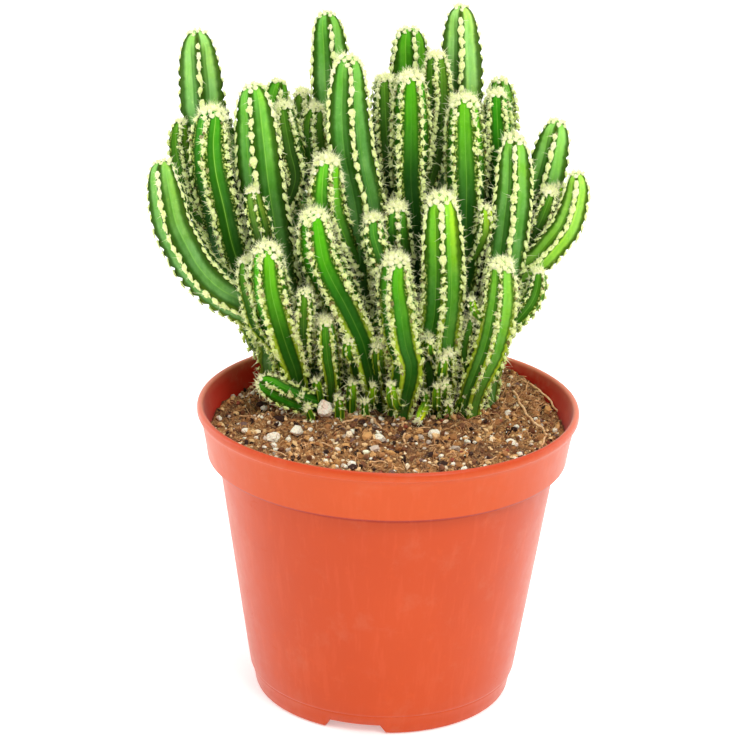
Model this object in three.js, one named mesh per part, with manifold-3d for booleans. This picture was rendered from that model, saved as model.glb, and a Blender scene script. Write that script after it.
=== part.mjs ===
// Potted clump of a ribbed columnar cactus: a tapered plastic nursery pot, its soil with a few
// white mineral grains and surface roots, and every stem and shoot of the plant as its own piece.
// Millimetres, +Z up. The origin is on the pot's axis, on the ground it stands on.
import * as THREE from 'three';
import { mergeVertices } from 'three/addons/utils/BufferGeometryUtils.js';
import Module from 'manifold-3d';

const wasm = await Module();
wasm.setup();

// ---- driving dimensions -------------------------------------------------------------------
const SEGMENTS = 36;            // facets round the pot and the soil
const RIM_RADIUS = 60;          // outer edge of the rolled lip
const RIM_HEIGHT = 95.5;        // top of the lip
const COLLAR_LOW = 78.9;        // lower edge of the collar
const COLLAR_LOW_RADIUS = 56.6;
const BODY_HIGH_RADIUS = 53.2;  // body just under the collar
const CREASE_HEIGHT = 6.6;      // faint crease above the foot
const CREASE_RADIUS = 42.7;
const FOOT_RADIUS = 41.1;
const WALL = 1.4;
const FLOOR_UNDER = 3.0;        // recess under the floor
const FLOOR_TOP = 4.6;
const PAD_RADIUS = 13;          // flat pad in the middle of the underside, level with the foot
const NOTCHES = 3;              // drainage notches in the foot ring
const NOTCH_WIDTH = 16.5;
const NOTCH_FIRST_DEG = -101;   // the first one, a little left of the front
const DRAIN_HOLES = 6;
const DRAIN_RADIUS = 3.6;
const DRAIN_CIRCLE = 28;
const GAP = 0.3;                // clearance between pieces that touch
const SOIL_LEVEL = 85.8;        // soil at the wall, in front
const RIBS = 5;
const VALLEY = 0.62;            // valley radius over crest radius
const RING_STEP = 19;           // longest step between two sections of a stem

// Stems and shoots. line: the centre line from the tip down, radius: at the rib crests, phase:
// turn of the ribs (0 has one rib towards -Y), twist: further turn down to the lower end.
// A rooted stem ends inside the soil; any other one ends against the stem that it grew from.
const STEMS = [
  { name: 'stem_back_left_tall', radius: 8.0, phase: 4, twist: 0, rooted: true, parent: null,
    line: [[-62.5, 32.6, 205.1], [-62, 33.1, 195.8], [-61.2, 33, 187.8], [-60.4, 33.1, 179.1], [-54.4, 33.4, 165.3], [-45.2, 33.3, 147.6], [-37, 34.4, 127.4], [-24.1, 38.9, 88], [-24.4, 38.5, 76]] },
  { name: 'stem_left_upright', radius: 7.1, phase: -18, twist: 0, rooted: true, parent: null,
    line: [[-56.1, 17.2, 184.5], [-57.2, 17.7, 174.2], [-56.5, 18.8, 164.2], [-54.4, 20.1, 154.2], [-51.8, 23, 140.2], [-47.9, 26.2, 127.6], [-43.7, 28, 116.9], [-40.8, 28.9, 106.4], [-31.9, 32.7, 88], [-31.9, 32.5, 76]] },
  { name: 'stem_left_arching', radius: 7.2, phase: -16, twist: 0, rooted: true, parent: null,
    line: [[-71.9, 14.5, 167.9], [-71.2, 13.7, 162.1], [-70, 13.3, 155.8], [-68.6, 12.8, 148.8], [-65.5, 13, 142], [-61.5, 13.1, 134.5], [-55.2, 13.1, 127.7], [-47.2, 13.8, 123], [-37.5, 15.6, 117], [-35.6, 17.1, 108.5], [-36.2, 21.1, 97.2], [-35.5, 24.2, 88], [-35.5, 24.4, 76]] },
  { name: 'shoot_left_rear', radius: 4.3, phase: 10, twist: 0, rooted: false, parent: 'stem_left_upright',
    line: [[-67.1, 26.9, 177.6], [-67.8, 26.7, 171.5], [-66.5, 26, 163.6], [-64, 24.3, 153], [-55.8, 23, 142.4]] },
  { name: 'stem_left_centre_tall', radius: 7.9, phase: -12, twist: 0, rooted: true, parent: null,
    line: [[-44.1, 18.4, 191.8], [-43.1, 18.1, 182.8], [-42.1, 18.1, 172.8], [-40.9, 19.2, 161.3], [-39.3, 20.1, 150.6], [-37.3, 20.1, 139.8], [-34.6, 21, 124.3], [-23.3, 25.9, 88], [-23.3, 25.9, 76]] },
  { name: 'stem_rear_left_hidden', radius: 6.0, phase: 20, twist: 0, rooted: false, parent: 'stem_left_centre_tall',
    line: [[-37.1, 38.2, 188.5], [-39, 34.9, 179.4], [-40, 29.8, 167], [-40.1, 22.4, 151.8]] },
  { name: 'stem_back_centre_tall', radius: 7.1, phase: 16, twist: 0, rooted: true, parent: null,
    line: [[-22.7, 43.6, 209.4], [-21.9, 44, 199.1], [-21.1, 43.9, 187.8], [-20.3, 42, 175.1], [-20.1, 37.5, 159.6], [-19.9, 31.8, 144.1], [-18, 30.4, 123.5], [-13.1, 34.8, 88], [-13.1, 34.6, 76]] },
  { name: 'stem_centre_tall', radius: 7.3, phase: 11, twist: 0, rooted: true, parent: null,
    line: [[-15, 19.3, 201.4], [-15, 19.6, 192.2], [-14.8, 19.9, 182.7], [-13.6, 19.8, 171.5], [-11.5, 19.8, 161.9], [-9.4, 19.1, 152.3], [-8.2, 19.4, 139.2], [-7.3, 21.3, 122.1], [-4.8, 25.7, 88], [-4.8, 25.7, 76]] },
  { name: 'stem_back_right_centre', radius: 8.0, phase: 20, twist: 0, rooted: true, parent: null,
    line: [[3.6, 45.7, 204.8], [3.9, 45.2, 196.2], [4.2, 44.6, 186.4], [4, 41.6, 172.1], [2.5, 36.3, 156.5], [0.7, 32.1, 137.1], [1.1, 37.9, 88], [1.1, 37.7, 76]] },
  { name: 'stem_mid_right_tall', radius: 6.5, phase: 36, twist: 0, rooted: true, parent: null,
    line: [[4.5, 24.3, 195.4], [4.7, 23.9, 188.5], [5, 23.3, 179.1], [5.2, 23, 169.5], [5.5, 23, 159.8], [6.9, 21.6, 146.9], [6.7, 21.8, 128], [8.9, 27.5, 88], [8.9, 27.5, 76]] },
  { name: 'stem_back_right_tallest', radius: 7.4, phase: -2, twist: 0, rooted: true, parent: null,
    line: [[19.7, 41.7, 213.1], [20.2, 41.8, 202.2], [20.8, 41.4, 191.1], [21, 40.4, 179.9], [20.1, 37.2, 164.3], [17.4, 33.3, 145.2], [14.4, 34.2, 120.8], [12.7, 37.7, 88], [12.7, 37.5, 76]] },
  { name: 'stem_right_centre', radius: 7.0, phase: 36, twist: 0, rooted: true, parent: null,
    line: [[21.1, 22.9, 188.8], [21.6, 22.4, 179.7], [22.2, 21.5, 170.3], [22.8, 20.7, 160.9], [23, 20.1, 149.5], [23.6, 22, 136], [21.5, 23.6, 118.7], [21.5, 28.5, 88], [21.4, 28.4, 76]] },
  { name: 'stem_right_rear', radius: 5.3, phase: 36, twist: 0, rooted: false, parent: 'stem_right_centre',
    line: [[31.4, 31.2, 188.3], [31.9, 30.7, 181.1], [32.5, 29.7, 173.2], [32.8, 28.5, 164.1], [30.9, 27.3, 151.5], [25.3, 24.8, 134.7]] },
  { name: 'stem_right_upright', radius: 6.4, phase: 0, twist: 22, rooted: true, parent: null,
    line: [[37, 20.1, 177.2], [37.3, 19.7, 169.6], [37.4, 18.6, 160.2], [36.5, 17.3, 149.2], [35.6, 16.6, 139.5], [34.1, 16.3, 127], [32, 18.2, 112.6], [30.7, 21, 88], [30.7, 21.2, 76]] },
  { name: 'stem_right_leaning', radius: 7.0, phase: -6, twist: 0, rooted: true, parent: null,
    line: [[50.8, 27.6, 180.4], [49.6, 28, 171.6], [48.1, 28.4, 163.6], [46, 28.5, 155.3], [43.5, 27.7, 146.8], [40.6, 27.9, 137.7], [36.8, 27.9, 124.8], [29.2, 35.7, 88], [29, 35.3, 76]] },
  { name: 'stem_far_right_arching', radius: 5.1, phase: -10, twist: 0, rooted: false, parent: 'stem_right_upright',
    line: [[57.2, 19.6, 165.9], [57.5, 19.6, 160.4], [56.4, 19.2, 154], [54.4, 18.8, 148.2], [50.9, 19, 143.1], [47.1, 18.8, 138.4], [41.3, 18.3, 133.6], [35.5, 17.8, 127.2]] },
  { name: 'shoot_right_low', radius: 3.7, phase: 30, twist: 0, rooted: false, parent: 'stem_front_right',
    line: [[46.1, 10.2, 136.9], [45.8, 10.2, 130.9], [43.8, 9.8, 125.7], [38.8, 9, 119.2], [32.7, 8, 111.1]] },
  { name: 'stem_front_right', radius: 5.5, phase: -8, twist: 0, rooted: true, parent: null,
    line: [[33.9, -2.5, 143.6], [34.2, -1, 135.3], [34.1, 0.9, 128.2], [33.1, 3.5, 119.7], [31.6, 5.9, 111.5], [29.1, 7.9, 103.6], [26.9, 9.6, 96.2], [26.1, 11.9, 88], [26.1, 11.9, 76]] },
  { name: 'stem_front_centre_right', radius: 6.9, phase: 0, twist: 0, rooted: true, parent: null,
    line: [[14.6, 4.4, 162.4], [15.2, 4.3, 154.2], [15.8, 4.6, 144.4], [16.3, 6.3, 134.1], [16.2, 7.8, 123.7], [15.3, 9.5, 113.1], [16.6, 12.6, 88], [16.7, 12.6, 76]] },
  { name: 'stem_front_centre', radius: 6.3, phase: -25, twist: 0, rooted: true, parent: null,
    line: [[1.6, -0.2, 143.6], [1.3, 0.7, 135.5], [2.3, 1.9, 128], [3.4, 2.1, 120.3], [4.7, 2.5, 113.6], [6.3, 3.6, 106.6], [4, 8.3, 89.2], [3.8, 8.4, 76]] },
  { name: 'stem_front_left_centre', radius: 6.7, phase: -20, twist: 0, rooted: true, parent: null,
    line: [[-24.5, 1.8, 156.8], [-23.5, 2, 150], [-22.2, 3.5, 142.1], [-19.5, 5.2, 135.1], [-15.7, 7.1, 127.4], [-12, 8.8, 119.3], [-8.7, 10.1, 110.5], [-4.2, 15.5, 88], [-4, 15.5, 76]] },
  { name: 'stem_front_left', radius: 6.6, phase: -26, twist: 0, rooted: true, parent: null,
    line: [[-38.4, -1.5, 146.5], [-38, -1.4, 139.1], [-37.4, -0.7, 132.4], [-35.9, 1.4, 125.2], [-34.2, 5.6, 117.1], [-32.2, 9.2, 109.3], [-30.2, 12.3, 101.8], [-28, 16.2, 88], [-28.1, 16.3, 76]] },
  { name: 'stem_inner_centre', radius: 6.3, phase: 22, twist: 0, rooted: false, parent: 'stem_centre_tall',
    line: [[-20.5, 12, 171.5], [-21.1, 11.9, 165.4], [-21.2, 12.1, 159], [-20.2, 12.6, 151.4], [-16.2, 15.1, 141.3], [-9.7, 19, 130.1]] },
  { name: 'shoot_inner_left', radius: 4.6, phase: 36, twist: 0, rooted: false, parent: 'stem_front_centre',
    line: [[-6.1, 9.2, 153.4], [-5.7, 6.9, 148], [-3.4, 5.4, 140.9], [0.4, 3.6, 129.8]] },
  { name: 'shoot_inner_centre', radius: 4.6, phase: 10, twist: 0, rooted: false, parent: 'stem_mid_right_tall',
    line: [[1.2, 10.6, 157.1], [1.2, 11.1, 150.2], [2.2, 13.9, 142], [5.4, 19.6, 128.8]] },
  { name: 'shoot_pale_right', radius: 3.2, phase: 36, twist: 0, rooted: false, parent: 'stem_right_centre',
    line: [[28.5, 11.5, 156.6], [29.1, 12.5, 150.4], [27.4, 15.4, 143.4], [24.3, 19.9, 134.5]] },
  { name: 'shoot_base_left_lying', radius: 5.3, phase: 20, twist: 0, rooted: false, parent: 'stem_front_left',
    line: [[-41, 6.6, 98.9], [-37.6, 6.2, 97.4], [-33.6, 6, 95.3], [-29.4, 6.6, 93.2], [-25.4, 8.6, 91.2], [-21.6, 11.8, 89.6]] },
  { name: 'pup_base_front', radius: 2.9, phase: 10, twist: 0, rooted: false, parent: 'stem_front_centre',
    line: [[9.6, -1.4, 89.7], [10.8, 2.1, 91.5], [12.6, 6.5, 93.6]] },
  { name: 'pup_base_centre_left', radius: 2.3, phase: 10, twist: 0, rooted: true, parent: null,
    line: [[-10, 15.1, 90], [-10, 16, 87.6], [-9.1, 20.8, 88], [-9.1, 20.8, 76]] },
  { name: 'shoot_woolly_left', radius: 4.6, phase: 36, twist: 0, rooted: false, parent: 'stem_left_centre_tall',
    line: [[-35.2, 25.9, 184.1], [-34.1, 25.6, 177.5], [-32.5, 24.6, 169.7], [-30.8, 23.3, 160.4], [-35.2, 20.4, 148.2]] },
  { name: 'shoot_woolly_right', radius: 5.1, phase: 0, twist: 0, rooted: false, parent: 'stem_mid_right_tall',
    line: [[12.2, 33.8, 199.7], [12.7, 33.4, 190], [12.7, 32, 178.8], [11.3, 29, 165.8], [7.9, 23.8, 153]] },
  { name: 'shoot_olive_left', radius: 3.8, phase: 10, twist: 0, rooted: false, parent: 'stem_left_centre_tall',
    line: [[-43.7, 9.3, 160.8], [-42.8, 9.4, 156], [-41.5, 10, 150.3], [-40.1, 13, 143.6], [-37.6, 18.1, 135.1]] },
  { name: 'shoot_front_left_low', radius: 4.0, phase: 36, twist: 0, rooted: true, parent: null,
    line: [[-20.4, 2.8, 121.8], [-20, 4.6, 115.6], [-19.4, 7.6, 107.8], [-18.4, 10.8, 99.9], [-18, 16.1, 88], [-18, 16.1, 76]] },
  { name: 'shoot_woolly_centre_left', radius: 4.6, phase: 0, twist: 0, rooted: false, parent: 'stem_back_centre_tall',
    line: [[-24.7, 30, 182.7], [-25.8, 29.7, 176.7], [-25.1, 29.1, 169.3], [-24, 28.6, 158.4], [-21.2, 29.9, 145]] },
  { name: 'shoot_right_inner_low', radius: 3.0, phase: 36, twist: 0, rooted: false, parent: 'stem_front_right',
    line: [[25.4, 8.1, 121.2], [24.6, 8.8, 116.3], [23.6, 9.5, 110.6], [25.6, 9.8, 100.6]] },
  { name: 'shoot_woolly_centre_right', radius: 4.9, phase: 36, twist: 0, rooted: false, parent: 'stem_back_right_centre',
    line: [[-3.8, 31.5, 192.4], [-3.3, 31.3, 183.9], [-2.5, 30.6, 173.7], [-1.3, 30.5, 162.4], [0.9, 31.4, 149.4]] },
  { name: 'stem_back_right_hidden', radius: 6.2, phase: 0, twist: 0, rooted: false, parent: 'stem_right_rear',
    line: [[33, 43.9, 189.4], [33.5, 43.1, 181.7], [33.3, 40.9, 171.3], [31.9, 35.8, 157.8], [29.5, 28.7, 143.6]] },
  { name: 'pup_base_front_right', radius: 2.9, phase: 36, twist: 0, rooted: false, parent: 'stem_front_centre_right',
    line: [[17.8, 1.9, 101.2], [17.6, 5.9, 96.6], [16.6, 10.3, 91.5]] },
  { name: 'shoot_woolly_far_right', radius: 4.1, phase: 36, twist: 0, rooted: false, parent: 'stem_right_leaning',
    line: [[49.5, 20.1, 160.3], [47.6, 21.3, 153.3], [44.7, 23.9, 144.5], [41.2, 26.2, 136]] },
  { name: 'shoot_back_centre_thin', radius: 4.2, phase: 20, twist: 0, rooted: false, parent: 'stem_back_centre_tall',
    line: [[-29.5, 36, 186.2], [-29.8, 36.4, 180.3], [-28, 36.1, 170.4], [-22.3, 35.6, 156.6]] },
  { name: 'shoot_front_left_outer', radius: 3.9, phase: 0, twist: 0, rooted: false, parent: 'stem_front_left',
    line: [[-45.1, 7.3, 139], [-44.6, 5.7, 133.3], [-42.9, 4.9, 126.4], [-41, 5.7, 117.9], [-35.3, 8.7, 109.7]] },
  { name: 'shoot_front_left_inner', radius: 3.4, phase: 36, twist: 0, rooted: false, parent: 'stem_front_left',
    line: [[-26.5, -2.5, 132.3], [-26.8, -0.1, 125.2], [-26.9, 4.7, 115.3], [-26.1, 11.2, 104.6]] },
  { name: 'pup_front_centre_low', radius: 3.0, phase: 0, twist: 0, rooted: false, parent: 'stem_front_centre_right',
    line: [[12, 4.2, 116.5], [12.5, 6.5, 110.8], [14, 9.5, 103.6]] },
  { name: 'pup_front_right_low', radius: 2.8, phase: 36, twist: 0, rooted: false, parent: 'stem_front_centre_right',
    line: [[18.7, 2.6, 111.6], [18.9, 6.1, 106], [19.5, 10.9, 99.2]] },
  { name: 'pup_front_left_low', radius: 3.0, phase: 0, twist: 0, rooted: false, parent: 'stem_front_left_centre',
    line: [[-3.6, 3.4, 112.8], [-3.2, 7.2, 105.4], [-1.8, 12.3, 96.8]] },
  { name: 'stem_rear_left', radius: 6.2, phase: 180, twist: 0, rooted: true, parent: null,
    line: [[-39.5, 46.9, 164.1], [-33.1, 46.7, 146], [-27.4, 48, 120.3], [-19.9, 45.6, 100.5], [-15.6, 43, 88], [-15.8, 42.9, 76]] },
  { name: 'stem_rear_left_centre', radius: 6.4, phase: 170, twist: 0, rooted: true, parent: null,
    line: [[-18.3, 58.2, 152], [-17, 57.9, 135.5], [-13.6, 55.3, 114.5], [-9.3, 47.4, 99.5], [-7.1, 41.4, 88], [-7.2, 41.5, 76]] },
  { name: 'stem_rear_right_centre', radius: 6.4, phase: 160, twist: 0, rooted: true, parent: null,
    line: [[11.7, 58.3, 160.9], [11.5, 54.7, 141.7], [10.4, 52.7, 118.2], [8.6, 48.2, 97.7], [7, 44.5, 88], [7.1, 44.9, 76]] },
  { name: 'stem_rear_right', radius: 6.2, phase: 200, twist: 0, rooted: true, parent: null,
    line: [[37, 49.1, 153.1], [35.6, 47.8, 135.9], [30.4, 45.8, 114.4], [24.3, 41.8, 97.7], [21.3, 38.9, 88], [21.4, 39.1, 76]] },
  { name: 'shoot_rear_centre', radius: 4.8, phase: 185, twist: 0, rooted: true, parent: null,
    line: [[-2.3, 50.3, 132], [-2.2, 51.2, 118.1], [-1.1, 50.4, 104.1], [0.3, 50.3, 94], [-0.9, 45.6, 88], [-0.9, 45.6, 76]] },
];

// White mineral grains lying on the soil: centre, half sizes and turn about Z.
const GRAINS = [
  { name: 'perlite_grain_left', at: [-35.2, -12.0], half: [2.7, 2.0, 1.7], turn: 12 },
  { name: 'perlite_grain_left_inner', at: [-28.4, -7.6], half: [2.5, 1.9, 1.7], turn: 40 },
  { name: 'perlite_grain_pink', at: [-19.6, 5.2], half: [3.3, 2.4, 3.1], turn: 52 },
  { name: 'perlite_grain_centre', at: [-2.4, -12.0], half: [2.3, 1.8, 1.5], turn: 5 },
  { name: 'perlite_grain_right', at: [14.5, -7.2], half: [2.2, 1.8, 1.6], turn: 60 },
];

// Pale surface roots: points from end to end and radius.
const ROOTS = [
  { name: 'surface_root_front', radius: 0.45,
    line: [[1.6, 15.4], [3.2, 9.2], [4.6, 0.2], [5.4, -10], [5.2, -20]], lift: [0.9, 1.1, 0.9, 0.8, 0.8] },
  { name: 'surface_root_right', radius: 0.5,
    line: [[40.5, 24], [43.2, 16], [45.6, 8.5], [49.2, 1.5], [49.6, -6.5], [47.4, -14.5]], lift: [1.0, 1.5, 1.4, 1.2, 1.0, 0.8] },
];

// ---- helpers ------------------------------------------------------------------------------
const rad = THREE.MathUtils.degToRad;

function toSolid(geometry) {
  let g = geometry.clone();
  g.deleteAttribute('normal');
  g.deleteAttribute('uv');
  g = mergeVertices(g, 1e-4);
  const src = g.index.array;
  const tri = [];
  for (let i = 0; i < src.length; i += 3) {
    const [a, b, c] = [src[i], src[i + 1], src[i + 2]];
    if (a !== b && b !== c && c !== a) tri.push(a, b, c);
  }
  const make = (t) => new wasm.Manifold(new wasm.Mesh({
    numProp: 3,
    vertProperties: new Float32Array(g.attributes.position.array),
    triVerts: new Uint32Array(t),
  }));
  let solid = make(tri);
  if (solid.volume() < 0) {
    for (let i = 0; i < tri.length; i += 3) [tri[i + 1], tri[i + 2]] = [tri[i + 2], tri[i + 1]];
    solid = make(tri);
  }
  return solid;
}

function toGeometry(solid) {
  const m = solid.getMesh();
  const g = new THREE.BufferGeometry();
  const n = m.numProp;
  const pos = new Float32Array((m.vertProperties.length / n) * 3);
  for (let i = 0; i < pos.length / 3; i++) {
    for (let k = 0; k < 3; k++) pos[i * 3 + k] = m.vertProperties[i * n + k];
  }
  g.setAttribute('position', new THREE.BufferAttribute(pos, 3));
  g.setIndex(new THREE.BufferAttribute(new Uint32Array(m.triVerts), 1));
  g.computeVertexNormals();
  return g;
}

function largest(solid) {
  const parts = solid.decompose();
  return parts.reduce((best, p) => (p.volume() > best.volume() ? p : best), parts[0]);
}

function overlaps(a, b) {
  const p = a.boundingBox(), q = b.boundingBox();
  for (let k = 0; k < 3; k++) if (p.min[k] > q.max[k] || q.min[k] > p.max[k]) return false;
  return a.intersect(b).volume() > 1e-4;
}

function mesh(name, geometry, colour, roughness = 0.6, metalness = 0) {
  const m = new THREE.Mesh(geometry, new THREE.MeshStandardMaterial({ color: colour, roughness, metalness }));
  m.name = name;
  return m;
}

// Radius of a stem at the distance t below its tip, as a share of its full crest radius.
const DOME = [[0, 0.16], [0.08, 0.34], [0.25, 0.52], [0.55, 0.68], [1.0, 0.8], [1.6, 0.89], [2.4, 0.95], [3.5, 1]];
function table(rows, x) {
  if (x <= rows[0][0]) return rows[0][1];
  for (let i = 1; i < rows.length; i++) {
    if (x <= rows[i][0]) {
      const [x0, y0] = rows[i - 1], [x1, y1] = rows[i];
      return y0 + ((y1 - y0) * (x - x0)) / (x1 - x0);
    }
  }
  return rows[rows.length - 1][1];
}
const ROOTED_FOOT = [[0, 0.66], [12, 0.7], [40, 1]];
const BRANCH_FOOT = [[0, 0.62], [5, 0.7], [22, 1]];

// A closed skin through rings of points, each ring counter-clockwise seen from the first end.
function skin(rings, first, last) {
  const n = rings[0].length;
  const pos = [];
  for (const ring of rings) for (const p of ring) pos.push(p.x, p.y, p.z);
  const a = rings.length * n, b = a + 1;
  pos.push(first.x, first.y, first.z, last.x, last.y, last.z);
  const index = [];
  for (let k = 0; k < n; k++) {
    const l = (k + 1) % n;
    index.push(a, k, l);
    for (let i = 0; i < rings.length - 1; i++) {
      const p = i * n + k, q = i * n + l, r = (i + 1) * n + l, s = (i + 1) * n + k;
      index.push(p, s, q, q, s, r);
    }
    const e = (rings.length - 1) * n;
    index.push(b, e + l, e + k);
  }
  const g = new THREE.BufferGeometry();
  g.setAttribute('position', new THREE.BufferAttribute(new Float32Array(pos), 3));
  g.setIndex(index);
  return g;
}

// One ribbed stem along its line. grow makes the same shape larger all round, for the clearance.
function stemGeometry(s, grow = 0) {
  const curve = new THREE.CatmullRomCurve3(s.line.map((p) => new THREE.Vector3(...p)), false, 'catmullrom', 0.5);
  curve.arcLengthDivisions = 400;
  const length = curve.getLength();
  const stops = [0.1, 0.6, 1.8].map((k) => k * s.radius).filter((t) => t < length - 2);
  const lastStop = stops[stops.length - 1];
  const steps = Math.max(1, Math.ceil((length - lastStop) / RING_STEP));
  for (let i = 1; i <= steps; i++) stops.push(lastStop + ((length - lastStop) * i) / steps);
  const foot = s.rooted ? ROOTED_FOOT : BRANCH_FOOT;
  const frame = new THREE.Vector3(0, -1, 0);
  const rings = [];
  const up = new THREE.Vector3();
  let first = null, last = null;
  const fine = 120;
  let next = 0;
  for (let i = 0; i <= fine && next < stops.length; i++) {
    // carry the rib frame down the line without turning it
    const t = (length * i) / fine;
    up.copy(curve.getTangentAt(Math.min(1, i / fine))).negate();
    frame.addScaledVector(up, -frame.dot(up)).normalize();
    if (i === 0) first = curve.getPointAt(0).addScaledVector(up, grow);
    while (next < stops.length && stops[next] <= t + length / fine / 2) {
      const at = stops[next];
      const centre = curve.getPointAt(Math.min(1, at / length));
      const side = new THREE.Vector3().crossVectors(up, frame);
      const r = s.radius * table(DOME, at / s.radius) * table(foot, length - at);
      const valley = VALLEY + (0.86 - VALLEY) * Math.max(0, 1 - at / (1.2 * s.radius));
      const turn = s.phase + (s.twist * at) / length;
      const lower = next === stops.length - 1 ? -grow : 0;
      const ring = [];
      for (let k = 0; k < 2 * RIBS; k++) {
        const angle = rad(turn + (180 / RIBS) * k);
        const d = r * (k % 2 ? valley : 1) + grow;
        ring.push(centre.clone()
          .addScaledVector(frame, d * Math.cos(angle))
          .addScaledVector(side, d * Math.sin(angle))
          .addScaledVector(up, lower));
      }
      rings.push(ring);
      last = centre.clone().addScaledVector(up, lower);
      next++;
    }
  }
  return skin(rings, first, last);
}

// Height of the soil's surface: mounded round the plant and raked up the wall at the back right.
function soilHeight(x, y) {
  const mound = 2.6 * Math.exp(-(((x + 6) / 36) ** 2) - ((y - 22) / 26) ** 2);
  const bank = 5.2 * Math.exp(-(((x - 37) / 12) ** 2) - ((y - 37) / 12) ** 2);
  const lumps = 0.55 * Math.sin(x * 0.31 + 1.3) * Math.cos(y * 0.27 - 0.6) + 0.35 * Math.sin(x * 0.13 - y * 0.21);
  return SOIL_LEVEL + mound + bank + lumps;
}

function innerRadius(z) {
  return table([[FLOOR_TOP, CREASE_RADIUS - WALL - 0.4], [CREASE_HEIGHT + 2, CREASE_RADIUS - WALL + 0.2],
    [COLLAR_LOW + 1.2, BODY_HIGH_RADIUS - WALL], [COLLAR_LOW + 1.9, COLLAR_LOW_RADIUS - WALL],
    [RIM_HEIGHT, RIM_RADIUS - 2.0]], z);
}

// ---- pot ----------------------------------------------------------------------------------
function potSolid() {
  const p = (r, z) => new THREE.Vector2(r, z);
  const outline = [
    p(0, 0), p(PAD_RADIUS, 0), p(PAD_RADIUS + 1.2, FLOOR_UNDER), p(FOOT_RADIUS - 3.6, FLOOR_UNDER), p(FOOT_RADIUS - 2.4, 0),
    p(FOOT_RADIUS, 0), p(CREASE_RADIUS, CREASE_HEIGHT), p(BODY_HIGH_RADIUS, COLLAR_LOW), p(COLLAR_LOW_RADIUS, COLLAR_LOW + 0.2),
    p(59.1, 92.4), p(RIM_RADIUS, 93.6), p(RIM_RADIUS, 94.8), p(59.3, RIM_HEIGHT), p(58.5, RIM_HEIGHT),
    p(innerRadius(93), 93), p(innerRadius(COLLAR_LOW + 1.9), COLLAR_LOW + 1.9),
    p(innerRadius(COLLAR_LOW + 1.2), COLLAR_LOW + 1.2), p(innerRadius(CREASE_HEIGHT + 2), CREASE_HEIGHT + 2),
    p(innerRadius(FLOOR_TOP), FLOOR_TOP), p(0, FLOOR_TOP),
  ];
  let pot = toSolid(new THREE.LatheGeometry(outline, SEGMENTS).rotateX(Math.PI / 2));
  for (let i = 0; i < NOTCHES; i++) {
    const a = rad(NOTCH_FIRST_DEG + (360 / NOTCHES) * i);
    // a flared slot through the foot ring, as wide as the notch at its top
    const w = NOTCH_WIDTH / 2;
    const shape = new THREE.Shape([p(-w - 1.6, -1), p(w + 1.6, -1), p(w, FLOOR_UNDER), p(-w, FLOOR_UNDER)]);
    const slot = new THREE.ExtrudeGeometry(shape, { depth: 12, bevelEnabled: false });
    slot.rotateX(Math.PI / 2).rotateZ(Math.PI).translate(0, FOOT_RADIUS - 6, 0).rotateZ(a - Math.PI / 2);
    pot = pot.subtract(toSolid(slot));
  }
  for (let i = 0; i < DRAIN_HOLES; i++) {
    const a = rad(15 + (360 / DRAIN_HOLES) * i);
    const hole = new THREE.CylinderGeometry(DRAIN_RADIUS, DRAIN_RADIUS, 12, 10).rotateX(Math.PI / 2);
    hole.translate(DRAIN_CIRCLE * Math.cos(a), DRAIN_CIRCLE * Math.sin(a), 4);
    pot = pot.subtract(toSolid(hole));
  }
  return pot;
}

// ---- soil ---------------------------------------------------------------------------------
function soilSolid() {
  const rings = [];
  const ringAt = (r, zOf) => {
    const ring = [];
    for (let k = 0; k < SEGMENTS; k++) {
      const a = (2 * Math.PI * k) / SEGMENTS;
      const x = r * Math.sin(a), y = r * Math.cos(a);
      ring.push(new THREE.Vector3(x, y, zOf(x, y)));
    }
    return ring.reverse();
  };
  for (const r of [12, 25, 38, 49]) rings.push(ringAt(r, soilHeight));
  // the edge meets the tapering wall, whose radius depends on the height there
  const edge = [];
  for (let k = 0; k < SEGMENTS; k++) {
    const a = (2 * Math.PI * k) / SEGMENTS;
    let r = 55.5;
    for (let i = 0; i < 4; i++) r = innerRadius(soilHeight(r * Math.sin(a), r * Math.cos(a))) - GAP;
    edge.push(new THREE.Vector3(r * Math.sin(a), r * Math.cos(a), soilHeight(r * Math.sin(a), r * Math.cos(a))));
  }
  rings.push(edge.reverse());
  for (const z of [COLLAR_LOW + 1.9, COLLAR_LOW + 1.2, CREASE_HEIGHT + 2, FLOOR_TOP + GAP]) {
    rings.push(ringAt(innerRadius(z) - GAP, () => z + (z > 50 ? GAP : 0)));
  }
  return toSolid(skin(rings, new THREE.Vector3(0, 0, soilHeight(0, 0)), new THREE.Vector3(0, 0, FLOOR_TOP + GAP)));
}

function lump(grain, grow = 0) {
  const g = new THREE.IcosahedronGeometry(1, 1);
  g.deleteAttribute('normal');
  g.deleteAttribute('uv');
  const merged = mergeVertices(g, 1e-4);
  const pos = merged.attributes.position;
  const v = new THREE.Vector3();
  for (let i = 0; i < pos.count; i++) {
    v.fromBufferAttribute(pos, i);
    const k = 1 + 0.11 * Math.sin(5.1 * v.x + 2 * grain.turn) * Math.cos(4.3 * v.y + v.z * 3.7);
    pos.setXYZ(i, v.x * (grain.half[0] * k + grow), v.y * (grain.half[1] * k + grow), v.z * (grain.half[2] * k + grow));
  }
  const [x, y] = grain.at;
  merged.rotateZ(rad(grain.turn));
  merged.translate(x, y, soilHeight(x, y) + grain.half[2] + 0.45);
  return merged;
}

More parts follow.
